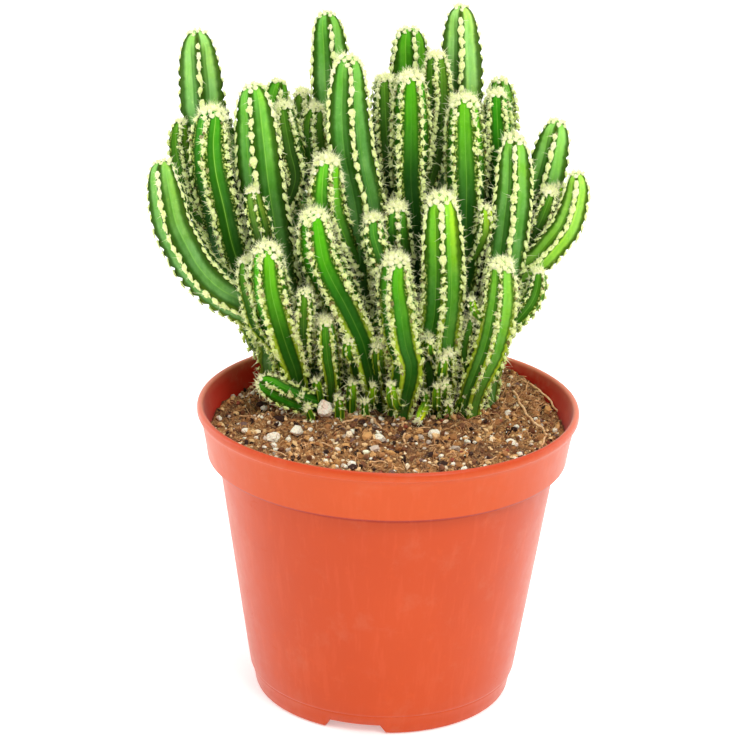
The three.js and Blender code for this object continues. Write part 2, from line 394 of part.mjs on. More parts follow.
function rootGeometry(root, grow = 0) {
  const points = root.line.map(([x, y], i) => new THREE.Vector3(x, y, soilHeight(x, y) + root.lift[i]));
  const curve = new THREE.CatmullRomCurve3(points, false, 'catmullrom', 0.5);
  const n = 12, sides = 6;
  const rings = [];
  const frame = new THREE.Vector3(0, 0, 1);
  for (let i = 0; i <= n; i++) {
    const c = curve.getPointAt(i / n);
    const up = curve.getTangentAt(i / n).negate();
    frame.addScaledVector(up, -frame.dot(up)).normalize();
    const side = new THREE.Vector3().crossVectors(up, frame);
    const r = root.radius * (1 - 0.35 * (i / n)) + grow;
    const ring = [];
    for (let k = 0; k < sides; k++) {
      const a = (2 * Math.PI * k) / sides;
      ring.push(c.clone().addScaledVector(frame, r * Math.cos(a)).addScaledVector(side, r * Math.sin(a)));
    }
    rings.push(ring);
  }
  return skin(rings, curve.getPointAt(0), curve.getPointAt(1));
}

// A plain six-sided hole round the foot of a rooted stem, along its line.
function footHole(s) {
  const curve = new THREE.CatmullRomCurve3(s.line.map((p) => new THREE.Vector3(...p)), false, 'catmullrom', 0.5);
  curve.arcLengthDivisions = 400;
  const length = curve.getLength();
  const rings = [];
  const ends = [];
  for (const below of [Math.min(19, 0.96 * length), 0]) {
    const t = 1 - below / length;
    const up = curve.getTangentAt(t).negate();
    const c = curve.getPointAt(t);
    if (!below) c.addScaledVector(up, -GAP - 0.1);
    const frame = new THREE.Vector3(0, -1, 0);
    frame.addScaledVector(up, -frame.dot(up)).normalize();
    const side = new THREE.Vector3().crossVectors(up, frame);
    const r = (s.radius * table(ROOTED_FOOT, below) + GAP + 2.2) / Math.cos(Math.PI / 6);
    const ring = [];
    for (let k = 0; k < 6; k++) {
      const a = (Math.PI / 3) * k;
      ring.push(c.clone().addScaledVector(frame, r * Math.cos(a)).addScaledVector(side, r * Math.sin(a)));
    }
    rings.push(ring);
    ends.push(c);
  }
  return skin(rings, ends[0], ends[1]);
}

// ---- assembly -----------------------------------------------------------------------------
const plant = new THREE.Group();
plant.add(mesh('pot', toGeometry(potSolid()), 0xe85d34, 0.38));

const solids = new Map();   // finished stems
const grown = new Map();    // the same with clearance
const order = [...STEMS].sort((a, b) => (b.rooted - a.rooted) || (b.radius - a.radius));
for (const s of order) {
  let solid = toSolid(stemGeometry(s));
  for (const [, other] of grown) {
    if (overlaps(solid, other)) solid = largest(solid.subtract(other));
  }
  solids.set(s.name, solid);
  grown.set(s.name, toSolid(stemGeometry(s, GAP + 0.05)));
}

let soil = soilSolid();
for (const s of STEMS.filter((q) => q.rooted)) soil = soil.subtract(toSolid(footHole(s)));
for (const s of STEMS) {
  if (overlaps(soil, grown.get(s.name))) soil = soil.subtract(grown.get(s.name));
}
const extras = [];
for (const root of ROOTS) {
  let solid = toSolid(rootGeometry(root));
  for (const [, other] of grown) if (overlaps(solid, other)) solid = largest(solid.subtract(other));
  extras.push([root.name, solid, 0xc9a878]);
}
for (const grain of GRAINS) {
  let solid = toSolid(lump(grain));
  for (const [, other] of grown) if (overlaps(solid, other)) solid = largest(solid.subtract(other));
  extras.push([grain.name, solid, 0xefe9dc]);
}
soil = largest(soil);
plant.add(mesh('soil', toGeometry(soil), 0x6b4630, 0.95));
for (const s of STEMS) plant.add(mesh(s.name, toGeometry(solids.get(s.name)), 0x4c9a2a, 0.5));
for (const [name, solid, colour] of extras) plant.add(mesh(name, toGeometry(solid), colour, 0.8));

export default plant;
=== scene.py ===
# Potted clump of a five-ribbed columnar cactus: detailed skins, areoles, spines, soil and pot
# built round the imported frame. Lengths in the tables are millimetres.
import bpy
import math
import numpy as np
from mathutils import Matrix, Vector
from mathutils.bvhtree import BVHTree


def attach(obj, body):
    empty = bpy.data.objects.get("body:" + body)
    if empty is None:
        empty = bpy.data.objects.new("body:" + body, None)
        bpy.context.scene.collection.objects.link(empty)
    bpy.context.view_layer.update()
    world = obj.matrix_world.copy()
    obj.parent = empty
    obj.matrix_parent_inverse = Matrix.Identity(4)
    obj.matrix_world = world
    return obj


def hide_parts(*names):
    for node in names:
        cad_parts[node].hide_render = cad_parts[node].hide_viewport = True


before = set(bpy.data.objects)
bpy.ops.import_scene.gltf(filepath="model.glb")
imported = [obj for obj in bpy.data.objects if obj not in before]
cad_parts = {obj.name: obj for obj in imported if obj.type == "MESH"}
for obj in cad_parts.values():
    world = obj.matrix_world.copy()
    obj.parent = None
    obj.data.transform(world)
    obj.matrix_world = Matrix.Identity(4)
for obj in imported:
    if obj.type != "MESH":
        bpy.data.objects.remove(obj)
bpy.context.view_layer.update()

MM = 0.001
RNG = np.random.default_rng(20517)

# ---- shared shape of the stems -------------------------------------------------------------
RIBS = 5
VALLEY = 0.62
DEEP = 0.56      # the skin's valleys are a little deeper than the frame's facets
PUPS = 38        # small offsets low on the stems
DOME = [(0, .16), (.08, .34), (.25, .52), (.55, .68), (1.0, .8), (1.6, .89), (2.4, .95), (3.5, 1)]
ROOTED_FOOT = [(0, .66), (12, .7), (40, 1)]
BRANCH_FOOT = [(0, .62), (5, .7), (22, 1)]

# name, crest radius, rib phase (degrees, 0 has one rib towards -Y), twist down the stem, whether
# it is rooted in the soil, the stem that it grew from, and its centre line from the tip down
STEMS = [
    ('stem_back_left_tall', 8.00, 4, 0, True, None,
     [(-62.5, 32.6, 205.1), (-62.0, 33.1, 195.8), (-61.2, 33.0, 187.8), (-60.4, 33.1, 179.1), (-54.4, 33.4, 165.3), (-45.2, 33.3, 147.6), (-37.0, 34.4, 127.4), (-24.1, 38.9, 88.0), (-24.4, 38.5, 76.0)]),
    ('stem_left_upright', 7.10, -18, 0, True, None,
     [(-56.1, 17.2, 184.5), (-57.2, 17.7, 174.2), (-56.5, 18.8, 164.2), (-54.4, 20.1, 154.2), (-51.8, 23.0, 140.2), (-47.9, 26.2, 127.6), (-43.7, 28.0, 116.9), (-40.8, 28.9, 106.4), (-31.9, 32.7, 88.0), (-31.9, 32.5, 76.0)]),
    ('stem_left_arching', 7.20, -16, 0, True, None,
     [(-71.9, 14.5, 167.9), (-71.2, 13.7, 162.1), (-70.0, 13.3, 155.8), (-68.6, 12.8, 148.8), (-65.5, 13.0, 142.0), (-61.5, 13.1, 134.5), (-55.2, 13.1, 127.7), (-47.2, 13.8, 123.0), (-37.5, 15.6, 117.0), (-35.6, 17.1, 108.5), (-36.2, 21.1, 97.2), (-35.5, 24.2, 88.0), (-35.5, 24.4, 76.0)]),
    ('shoot_left_rear', 4.30, 10, 0, False, 'stem_left_upright',
     [(-67.1, 26.9, 177.6), (-67.8, 26.7, 171.5), (-66.5, 26.0, 163.6), (-64.0, 24.3, 153.0), (-55.8, 23.0, 142.4)]),
    ('stem_left_centre_tall', 7.90, -12, 0, True, None,
     [(-44.1, 18.4, 191.8), (-43.1, 18.1, 182.8), (-42.1, 18.1, 172.8), (-40.9, 19.2, 161.3), (-39.3, 20.1, 150.6), (-37.3, 20.1, 139.8), (-34.6, 21.0, 124.3), (-23.3, 25.9, 88.0), (-23.3, 25.9, 76.0)]),
    ('stem_rear_left_hidden', 6.00, 20, 0, False, 'stem_left_centre_tall',
     [(-37.1, 38.2, 188.5), (-39.0, 34.9, 179.4), (-40.0, 29.8, 167.0), (-40.1, 22.4, 151.8)]),
    ('stem_back_centre_tall', 7.10, 16, 0, True, None,
     [(-22.7, 43.6, 209.4), (-21.9, 44.0, 199.1), (-21.1, 43.9, 187.8), (-20.3, 42.0, 175.1), (-20.1, 37.5, 159.6), (-19.9, 31.8, 144.1), (-18.0, 30.4, 123.5), (-13.1, 34.8, 88.0), (-13.1, 34.6, 76.0)]),
    ('stem_centre_tall', 7.30, 11, 0, True, None,
     [(-15.0, 19.3, 201.4), (-15.0, 19.6, 192.2), (-14.8, 19.9, 182.7), (-13.6, 19.8, 171.5), (-11.5, 19.8, 161.9), (-9.4, 19.1, 152.3), (-8.2, 19.4, 139.2), (-7.3, 21.3, 122.1), (-4.8, 25.7, 88.0), (-4.8, 25.7, 76.0)]),
    ('stem_back_right_centre', 8.00, 20, 0, True, None,
     [(3.6, 45.7, 204.8), (3.9, 45.2, 196.2), (4.2, 44.6, 186.4), (4.0, 41.6, 172.1), (2.5, 36.3, 156.5), (0.7, 32.1, 137.1), (1.1, 37.9, 88.0), (1.1, 37.7, 76.0)]),
    ('stem_mid_right_tall', 6.50, 36, 0, True, None,
     [(4.5, 24.3, 195.4), (4.7, 23.9, 188.5), (5.0, 23.3, 179.1), (5.2, 23.0, 169.5), (5.5, 23.0, 159.8), (6.9, 21.6, 146.9), (6.7, 21.8, 128.0), (8.9, 27.5, 88.0), (8.9, 27.5, 76.0)]),
    ('stem_back_right_tallest', 7.40, -2, 0, True, None,
     [(19.7, 41.7, 213.1), (20.2, 41.8, 202.2), (20.8, 41.4, 191.1), (21.0, 40.4, 179.9), (20.1, 37.2, 164.3), (17.4, 33.3, 145.2), (14.4, 34.2, 120.8), (12.7, 37.7, 88.0), (12.7, 37.5, 76.0)]),
    ('stem_right_centre', 7.00, 36, 0, True, None,
     [(21.1, 22.9, 188.8), (21.6, 22.4, 179.7), (22.2, 21.5, 170.3), (22.8, 20.7, 160.9), (23.0, 20.1, 149.5), (23.6, 22.0, 136.0), (21.5, 23.6, 118.7), (21.5, 28.5, 88.0), (21.4, 28.4, 76.0)]),
    ('stem_right_rear', 5.30, 36, 0, False, 'stem_right_centre',
     [(31.4, 31.2, 188.3), (31.9, 30.7, 181.1), (32.5, 29.7, 173.2), (32.8, 28.5, 164.1), (30.9, 27.3, 151.5), (25.3, 24.8, 134.7)]),
    ('stem_right_upright', 6.40, 0, 22, True, None,
     [(37.0, 20.1, 177.2), (37.3, 19.7, 169.6), (37.4, 18.6, 160.2), (36.5, 17.3, 149.2), (35.6, 16.6, 139.5), (34.1, 16.3, 127.0), (32.0, 18.2, 112.6), (30.7, 21.0, 88.0), (30.7, 21.2, 76.0)]),
    ('stem_right_leaning', 7.00, -6, 0, True, None,
     [(50.8, 27.6, 180.4), (49.6, 28.0, 171.6), (48.1, 28.4, 163.6), (46.0, 28.5, 155.3), (43.5, 27.7, 146.8), (40.6, 27.9, 137.7), (36.8, 27.9, 124.8), (29.2, 35.7, 88.0), (29.0, 35.3, 76.0)]),
    ('stem_far_right_arching', 5.10, -10, 0, False, 'stem_right_upright',
     [(57.2, 19.6, 165.9), (57.5, 19.6, 160.4), (56.4, 19.2, 154.0), (54.4, 18.8, 148.2), (50.9, 19.0, 143.1), (47.1, 18.8, 138.4), (41.3, 18.3, 133.6), (35.5, 17.8, 127.2)]),
    ('shoot_right_low', 3.70, 30, 0, False, 'stem_front_right',
     [(46.1, 10.2, 136.9), (45.8, 10.2, 130.9), (43.8, 9.8, 125.7), (38.8, 9.0, 119.2), (32.7, 8.0, 111.1)]),
    ('stem_front_right', 5.50, -8, 0, True, None,
     [(33.9, -2.5, 143.6), (34.2, -1.0, 135.3), (34.1, 0.9, 128.2), (33.1, 3.5, 119.7), (31.6, 5.9, 111.5), (29.1, 7.9, 103.6), (26.9, 9.6, 96.2), (26.1, 11.9, 88.0), (26.1, 11.9, 76.0)]),
    ('stem_front_centre_right', 6.90, 0, 0, True, None,
     [(14.6, 4.4, 162.4), (15.2, 4.3, 154.2), (15.8, 4.6, 144.4), (16.3, 6.3, 134.1), (16.2, 7.8, 123.7), (15.3, 9.5, 113.1), (16.6, 12.6, 88.0), (16.7, 12.6, 76.0)]),
    ('stem_front_centre', 6.30, -25, 0, True, None,
     [(1.6, -0.2, 143.6), (1.3, 0.7, 135.5), (2.3, 1.9, 128.0), (3.4, 2.1, 120.3), (4.7, 2.5, 113.6), (6.3, 3.6, 106.6), (4.0, 8.3, 89.2), (3.8, 8.4, 76.0)]),
    ('stem_front_left_centre', 6.70, -20, 0, True, None,
     [(-24.5, 1.8, 156.8), (-23.5, 2.0, 150.0), (-22.2, 3.5, 142.1), (-19.5, 5.2, 135.1), (-15.7, 7.1, 127.4), (-12.0, 8.8, 119.3), (-8.7, 10.1, 110.5), (-4.2, 15.5, 88.0), (-4.0, 15.5, 76.0)]),
    ('stem_front_left', 6.60, -26, 0, True, None,
     [(-38.4, -1.5, 146.5), (-38.0, -1.4, 139.1), (-37.4, -0.7, 132.4), (-35.9, 1.4, 125.2), (-34.2, 5.6, 117.1), (-32.2, 9.2, 109.3), (-30.2, 12.3, 101.8), (-28.0, 16.2, 88.0), (-28.1, 16.3, 76.0)]),
    ('stem_inner_centre', 6.30, 22, 0, False, 'stem_centre_tall',
     [(-20.5, 12.0, 171.5), (-21.1, 11.9, 165.4), (-21.2, 12.1, 159.0), (-20.2, 12.6, 151.4), (-16.2, 15.1, 141.3), (-9.7, 19.0, 130.1)]),
    ('shoot_inner_left', 4.60, 36, 0, False, 'stem_front_centre',
     [(-6.1, 9.2, 153.4), (-5.7, 6.9, 148.0), (-3.4, 5.4, 140.9), (0.4, 3.6, 129.8)]),
    ('shoot_inner_centre', 4.60, 10, 0, False, 'stem_mid_right_tall',
     [(1.2, 10.6, 157.1), (1.2, 11.1, 150.2), (2.2, 13.9, 142.0), (5.4, 19.6, 128.8)]),
    ('shoot_pale_right', 3.20, 36, 0, False, 'stem_right_centre',
     [(28.5, 11.5, 156.6), (29.1, 12.5, 150.4), (27.4, 15.4, 143.4), (24.3, 19.9, 134.5)]),
    ('shoot_base_left_lying', 5.30, 20, 0, False, 'stem_front_left',
     [(-41.0, 6.6, 98.9), (-37.6, 6.2, 97.4), (-33.6, 6.0, 95.3), (-29.4, 6.6, 93.2), (-25.4, 8.6, 91.2), (-21.6, 11.8, 89.6)]),
    ('pup_base_front', 2.90, 10, 0, False, 'stem_front_centre',
     [(9.6, -1.4, 89.7), (10.8, 2.1, 91.5), (12.6, 6.5, 93.6)]),
    ('pup_base_centre_left', 2.30, 10, 0, True, None,
     [(-10.0, 15.1, 90.0), (-10.0, 16.0, 87.6), (-9.1, 20.8, 88.0), (-9.1, 20.8, 76.0)]),
    ('shoot_woolly_left', 4.60, 36, 0, False, 'stem_left_centre_tall',
     [(-35.2, 25.9, 184.1), (-34.1, 25.6, 177.5), (-32.5, 24.6, 169.7), (-30.8, 23.3, 160.4), (-35.2, 20.4, 148.2)]),
    ('shoot_woolly_right', 5.10, 0, 0, False, 'stem_mid_right_tall',
     [(12.2, 33.8, 199.7), (12.7, 33.4, 190.0), (12.7, 32.0, 178.8), (11.3, 29.0, 165.8), (7.9, 23.8, 153.0)]),
    ('shoot_olive_left', 3.80, 10, 0, False, 'stem_left_centre_tall',
     [(-43.7, 9.3, 160.8), (-42.8, 9.4, 156.0), (-41.5, 10.0, 150.3), (-40.1, 13.0, 143.6), (-37.6, 18.1, 135.1)]),
    ('shoot_front_left_low', 4.00, 36, 0, True, None,
     [(-20.4, 2.8, 121.8), (-20.0, 4.6, 115.6), (-19.4, 7.6, 107.8), (-18.4, 10.8, 99.9), (-18.0, 16.1, 88.0), (-18.0, 16.1, 76.0)]),
    ('shoot_woolly_centre_left', 4.60, 0, 0, False, 'stem_back_centre_tall',
     [(-24.7, 30.0, 182.7), (-25.8, 29.7, 176.7), (-25.1, 29.1, 169.3), (-24.0, 28.6, 158.4), (-21.2, 29.9, 145.0)]),
    ('shoot_right_inner_low', 3.00, 36, 0, False, 'stem_front_right',
     [(25.4, 8.1, 121.2), (24.6, 8.8, 116.3), (23.6, 9.5, 110.6), (25.6, 9.8, 100.6)]),
    ('shoot_woolly_centre_right', 4.90, 36, 0, False, 'stem_back_right_centre',
     [(-3.8, 31.5, 192.4), (-3.3, 31.3, 183.9), (-2.5, 30.6, 173.7), (-1.3, 30.5, 162.4), (0.9, 31.4, 149.4)]),
    ('stem_back_right_hidden', 6.20, 0, 0, False, 'stem_right_rear',
     [(33.0, 43.9, 189.4), (33.5, 43.1, 181.7), (33.3, 40.9, 171.3), (31.9, 35.8, 157.8), (29.5, 28.7, 143.6)]),
    ('pup_base_front_right', 2.90, 36, 0, False, 'stem_front_centre_right',
     [(17.8, 1.9, 101.2), (17.6, 5.9, 96.6), (16.6, 10.3, 91.5)]),
    ('shoot_woolly_far_right', 4.10, 36, 0, False, 'stem_right_leaning',
     [(49.5, 20.1, 160.3), (47.6, 21.3, 153.3), (44.7, 23.9, 144.5), (41.2, 26.2, 136.0)]),
    ('shoot_back_centre_thin', 4.20, 20, 0, False, 'stem_back_centre_tall',
     [(-29.5, 36.0, 186.2), (-29.8, 36.4, 180.3), (-28.0, 36.1, 170.4), (-22.3, 35.6, 156.6)]),
    ('shoot_front_left_outer', 3.90, 0, 0, False, 'stem_front_left',
     [(-45.1, 7.3, 139.0), (-44.6, 5.7, 133.3), (-42.9, 4.9, 126.4), (-41.0, 5.7, 117.9), (-35.3, 8.7, 109.7)]),
    ('shoot_front_left_inner', 3.40, 36, 0, False, 'stem_front_left',
     [(-26.5, -2.5, 132.3), (-26.8, -0.1, 125.2), (-26.9, 4.7, 115.3), (-26.1, 11.2, 104.6)]),
    ('pup_front_centre_low', 3.00, 0, 0, False, 'stem_front_centre_right',
     [(12.0, 4.2, 116.5), (12.5, 6.5, 110.8), (14.0, 9.5, 103.6)]),
    ('pup_front_right_low', 2.80, 36, 0, False, 'stem_front_centre_right',
     [(18.7, 2.6, 111.6), (18.9, 6.1, 106.0), (19.5, 10.9, 99.2)]),
    ('pup_front_left_low', 3.00, 0, 0, False, 'stem_front_left_centre',
     [(-3.6, 3.4, 112.8), (-3.2, 7.2, 105.4), (-1.8, 12.3, 96.8)]),
    ('stem_rear_left', 6.20, 180, 0, True, None,
     [(-39.5, 46.9, 164.1), (-33.1, 46.7, 146.0), (-27.4, 48.0, 120.3), (-19.9, 45.6, 100.5), (-15.6, 43.0, 88.0), (-15.8, 42.9, 76.0)]),
    ('stem_rear_left_centre', 6.40, 170, 0, True, None,
     [(-18.3, 58.2, 152.0), (-17.0, 57.9, 135.5), (-13.6, 55.3, 114.5), (-9.3, 47.4, 99.5), (-7.1, 41.4, 88.0), (-7.2, 41.5, 76.0)]),
    ('stem_rear_right_centre', 6.40, 160, 0, True, None,
     [(11.7, 58.3, 160.9), (11.5, 54.7, 141.7), (10.4, 52.7, 118.2), (8.6, 48.2, 97.7), (7.0, 44.5, 88.0), (7.1, 44.9, 76.0)]),
    ('stem_rear_right', 6.20, 200, 0, True, None,
     [(37.0, 49.1, 153.1), (35.6, 47.8, 135.9), (30.4, 45.8, 114.4), (24.3, 41.8, 97.7), (21.3, 38.9, 88.0), (21.4, 39.1, 76.0)]),
    ('shoot_rear_centre', 4.80, 185, 0, True, None,
     [(-2.3, 50.3, 132.0), (-2.2, 51.2, 118.1), (-1.1, 50.4, 104.1), (0.3, 50.3, 94.0), (-0.9, 45.6, 88.0), (-0.9, 45.6, 76.0)]),]

# Look of each stem: skin near the tip, skin low down (0-255 display colours), share of pale
# bloom on the skin, spacing of the areoles near the top and low down, size of the wool at the
# top and low down, and size of the woolly crown.
LOOK = {
    'stem_back_left_tall': ((140, 196, 108), (112, 180, 108), 0.8, 3.8, 3.6, 1.08, 1.0, 0.12),
    'stem_left_upright': ((48, 136, 20), (34, 98, 34), 0.1, 3.3, 3.1, 1.1, 1.2, .95),
    'stem_left_arching': ((104, 164, 78), (66, 124, 56), 0.55, 3.4, 3.1, 1.0, 1.15, 0.22),
    'shoot_left_rear': ((82, 128, 44), (60, 100, 40), .1, 2.8, 2.8, 1.0, 1.0, 0.2),
    'stem_left_centre_tall': ((96, 172, 60), (58, 134, 50), 0.35, 3.9, 3.2, 1.1, 1.25, 0.35),
    'stem_rear_left_hidden': ((70, 140, 34), (50, 110, 36), .1, 3.4, 3.0, 1.0, 1.1, 0.2),
    'stem_back_centre_tall': ((84, 156, 46), (92, 154, 96), 0.5, 3.5, 3.3, 1.0, 1.0, 0.18),
    'stem_centre_tall': ((90, 162, 56), (56, 122, 58), .4, 3.5, 3.2, 1.1, 1.2, 0.65),
    'stem_back_right_centre': ((72, 146, 26), (40, 104, 30), 0.1, 3.2, 2.9, 1.1, 1.1, 0.35),
    'stem_mid_right_tall': ((68, 150, 18), (10, 62, 20), 0.05, 3.1, 2.8, 1.15, 1.25, .95),
    'stem_back_right_tallest': ((142, 194, 104), (124, 188, 122), 0.8, 3.8, 3.5, 1.08, 1.0, 0.12),
    'stem_right_centre': ((86, 162, 22), (20, 86, 24), 0.1, 3.1, 2.9, 1.1, 1.2, .95),
    'stem_right_rear': ((50, 136, 26), (34, 100, 30), 0.05, 2.9, 2.8, 1.15, 1.15, 0.6),
    'stem_right_upright': ((112, 178, 66), (62, 138, 44), .45, 3.3, 2.9, 1.1, 1.2, 0.6),
    'stem_right_leaning': ((126, 188, 96), (96, 168, 64), 0.6, 3.6, 3.0, 1.05, 1.1, 0.2),
    'stem_far_right_arching': ((152, 204, 92), (136, 196, 52), 0.4, 2.9, 2.9, 1.0, 1.1, 0.25),
    'shoot_right_low': ((60, 118, 44), (52, 104, 36), .1, 3.0, 2.9, .95, 1.0, .5),
    'stem_front_right': ((128, 192, 80), (92, 166, 50), 0.3, 3.2, 3.0, 1.05, 1.1, .95),
    'stem_front_centre_right': ((134, 198, 52), (66, 140, 44), 0.2, 3.3, 3.0, 1.1, 1.2, 1.0),
    'stem_front_centre': ((84, 166, 34), (34, 104, 30), 0.1, 3.1, 3.0, 1.15, 1.25, 1.0),
    'stem_front_left_centre': ((82, 172, 24), (30, 98, 28), 0.05, 3.1, 3.0, 1.15, 1.3, 1.0),
    'stem_front_left': ((92, 174, 30), (36, 110, 30), 0.08, 3.3, 3.0, 1.15, 1.25, 1.0),
    'stem_inner_centre': ((92, 178, 38), (52, 120, 40), .15, 3.3, 3.0, 1.1, 1.2, .95),
    'shoot_inner_left': ((56, 126, 44), (40, 92, 34), .1, 3.0, 2.8, 1.1, 1.1, .9),
    'shoot_inner_centre': ((60, 130, 46), (40, 92, 34), .1, 3.0, 2.8, 1.1, 1.1, .9),
    'shoot_pale_right': ((164, 206, 88), (110, 160, 62), .2, 2.6, 2.6, 1.0, 1.0, .6),
    'shoot_base_left_lying': ((52, 136, 40), (36, 116, 36), 0.05, 2.7, 2.7, 0.95, 0.95, 0.3),
    'pup_base_front': ((184, 218, 60), (120, 176, 44), .1, 2.5, 2.5, 0.62, 0.62, 0.3),
    'pup_base_centre_left': ((90, 160, 60), (70, 140, 50), .1, 2.5, 2.5, .75, .75, .4),
    'shoot_woolly_left': ((72, 116, 42), (50, 84, 34), .1, 2.5, 2.5, 1.05, 1.05, .7),
    'shoot_woolly_right': ((72, 118, 42), (50, 84, 34), .1, 2.5, 2.5, 1.05, 1.05, .7),
    'shoot_olive_left': ((94, 128, 62), (72, 104, 50), .2, 3.6, 3.2, .9, .9, .4),
    'shoot_front_left_low': ((66, 136, 44), (70, 140, 48), .1, 2.7, 2.9, 1.0, .9, .8),
    'shoot_woolly_centre_left': ((72, 118, 42), (50, 84, 34), .1, 2.5, 2.5, 1.05, 1.05, .7),
    'shoot_right_inner_low': ((66, 130, 46), (60, 116, 44), .1, 2.6, 2.6, .95, .95, .7),
    'shoot_woolly_centre_right': ((72, 118, 42), (50, 84, 34), .1, 2.5, 2.5, 1.05, 1.05, .7),
    'stem_back_right_hidden': ((78, 138, 52), (54, 110, 44), .2, 2.8, 2.7, 1.05, 1.05, 0.35),
    'pup_base_front_right': ((110, 180, 58), (80, 150, 46), .1, 2.6, 2.6, .85, .85, .6),
    'shoot_woolly_far_right': ((80, 128, 46), (54, 92, 36), .1, 2.5, 2.5, 1.0, 1.0, .7),
    'shoot_back_centre_thin': ((76, 112, 46), (54, 84, 36), .1, 2.5, 2.5, 1.0, 1.0, .6),
    'shoot_front_left_outer': ((82, 132, 50), (50, 92, 36), .1, 2.6, 2.6, 1.05, 1.05, .7),
    'shoot_front_left_inner': ((84, 132, 50), (50, 92, 36), .1, 2.6, 2.6, 1.05, 1.05, .8),
    'pup_front_centre_low': ((90, 146, 56), (60, 110, 44), .1, 2.5, 2.5, .95, .95, .8),
    'pup_front_right_low': ((84, 140, 56), (60, 110, 44), .1, 2.5, 2.5, .95, .95, .8),
    'pup_front_left_low': ((84, 140, 56), (60, 110, 44), .1, 2.5, 2.5, .95, .95, .8),
    'stem_rear_left': ((96, 166, 60), (60, 126, 50), .35, 3.5, 3.2, 1.05, 1.1, .7),
    'stem_rear_left_centre': ((88, 162, 48), (54, 120, 42), .2, 3.3, 3.1, 1.1, 1.2, .8),
    'stem_rear_right_centre': ((104, 172, 66), (62, 130, 50), .4, 3.5, 3.2, 1.05, 1.1, .7),
    'stem_rear_right': ((84, 158, 44), (52, 118, 42), .2, 3.3, 3.1, 1.1, 1.2, .8),
    'shoot_rear_centre': ((84, 150, 46), (54, 112, 40), .2, 2.9, 2.8, 1.05, 1.1, .8),
}


# Stems whose ribs carry one long cushion after another near the top, and teeth that stand out.
CHAIN = {'stem_back_left_tall': .75, 'stem_left_arching': .8, 'stem_left_centre_tall': .5, 'stem_back_centre_tall': .45, 'stem_centre_tall': .4,
         'stem_back_right_tallest': .8, 'stem_right_upright': .4, 'stem_right_leaning': .7, 'stem_far_right_arching': .6, 'stem_front_centre_right': .3,
         'stem_back_right_centre': .2}
# Stems whose side and back ribs carry less wool, so that their dark teeth show.
BARE = {'stem_back_left_tall': .50, 'stem_back_right_tallest': .50, 'stem_right_leaning': .62, 'stem_far_right_arching': .75, 'stem_left_arching': .75,
        'stem_back_centre_tall': .85}
# Strength of the lighter valley and its thin pale line between ribs: the skin's own tone and a painted highlight.
VEIN_AND_GLINT = {'stem_mid_right_tall': .10, 'stem_right_centre': .3, 'stem_left_upright': .9, 'stem_left_centre_tall': .6, 'stem_front_left': .35, 'stem_front_centre': .15,
        'stem_front_left_centre': .22, 'stem_inner_centre': .9, 'stem_right_upright': .25, 'stem_front_centre_right': .35, 'stem_front_right': .3,
        'stem_back_left_tall': .0, 'stem_back_right_tallest': .0, 'stem_right_leaning': .25, 'stem_left_arching': .4, 'stem_centre_tall': .2,
        'stem_back_right_centre': .5}


# ---- small helpers -------------------------------------------------------------------------
def lin(c):
    """Display colour 0-255 to linear."""
    c = np.asarray(c, float) / 255.0
    return np.where(c <= 0.04045, c / 12.92, ((c + 0.055) / 1.055) ** 2.4)


def table(rows, x):
    rows = np.array(rows, float)
    return np.interp(x, rows[:, 0], rows[:, 1])


def smooth_table(rows, x):
    """As table, with the corners rounded off (monotone cubic)."""
    rows = np.array(rows, float)
    X, Y = rows[:, 0], rows[:, 1]
    h = np.diff(X)
    d = np.diff(Y) / h
    m = np.zeros(len(X))
    m[0], m[-1] = d[0], 0.0
    for i in range(1, len(X) - 1):
        m[i] = 0.0 if d[i - 1] * d[i] <= 0 else 2 * d[i - 1] * d[i] / (d[i - 1] + d[i])
    x = np.clip(x, X[0], X[-1])
    i = np.clip(np.searchsorted(X, x) - 1, 0, len(h) - 1)
    t = (x - X[i]) / h[i]
    return ((1 + 2 * t) * (1 - t) ** 2 * Y[i] + t * (1 - t) ** 2 * h[i] * m[i]
            + t * t * (3 - 2 * t) * Y[i + 1] + t * t * (t - 1) * h[i] * m[i + 1])


def smoothstep(a, b, x):
    t = np.clip((np.asarray(x, float) - a) / (b - a), 0, 1)
    return t * t * (3 - 2 * t)


def unit(v):
    v = np.asarray(v, float)
    return v / np.maximum(np.linalg.norm(v, axis=-1, keepdims=True), 1e-12)


def catmull(P, n=14):
    """Points along the centre line, closely spaced, as the frame's stems are built."""
    P = np.array(P, float)
    E = np.vstack([2 * P[0] - P[1], P, 2 * P[-1] - P[-2]])
    out = []
    for i in range(1, len(E) - 2):
        p0, p1, p2, p3 = E[i - 1], E[i], E[i + 1], E[i + 2]
        t = np.linspace(0, 1, n, endpoint=False)[:, None]
        t0, t1 = 0.5 * (p2 - p0), 0.5 * (p3 - p1)
        out.append((2 * p1 - 2 * p2 + t0 + t1) * t ** 3 + (-3 * p1 + 3 * p2 - 2 * t0 - t1) * t ** 2 + t0 * t + p1)
    out.append(P[-1:])
    return np.vstack(out)


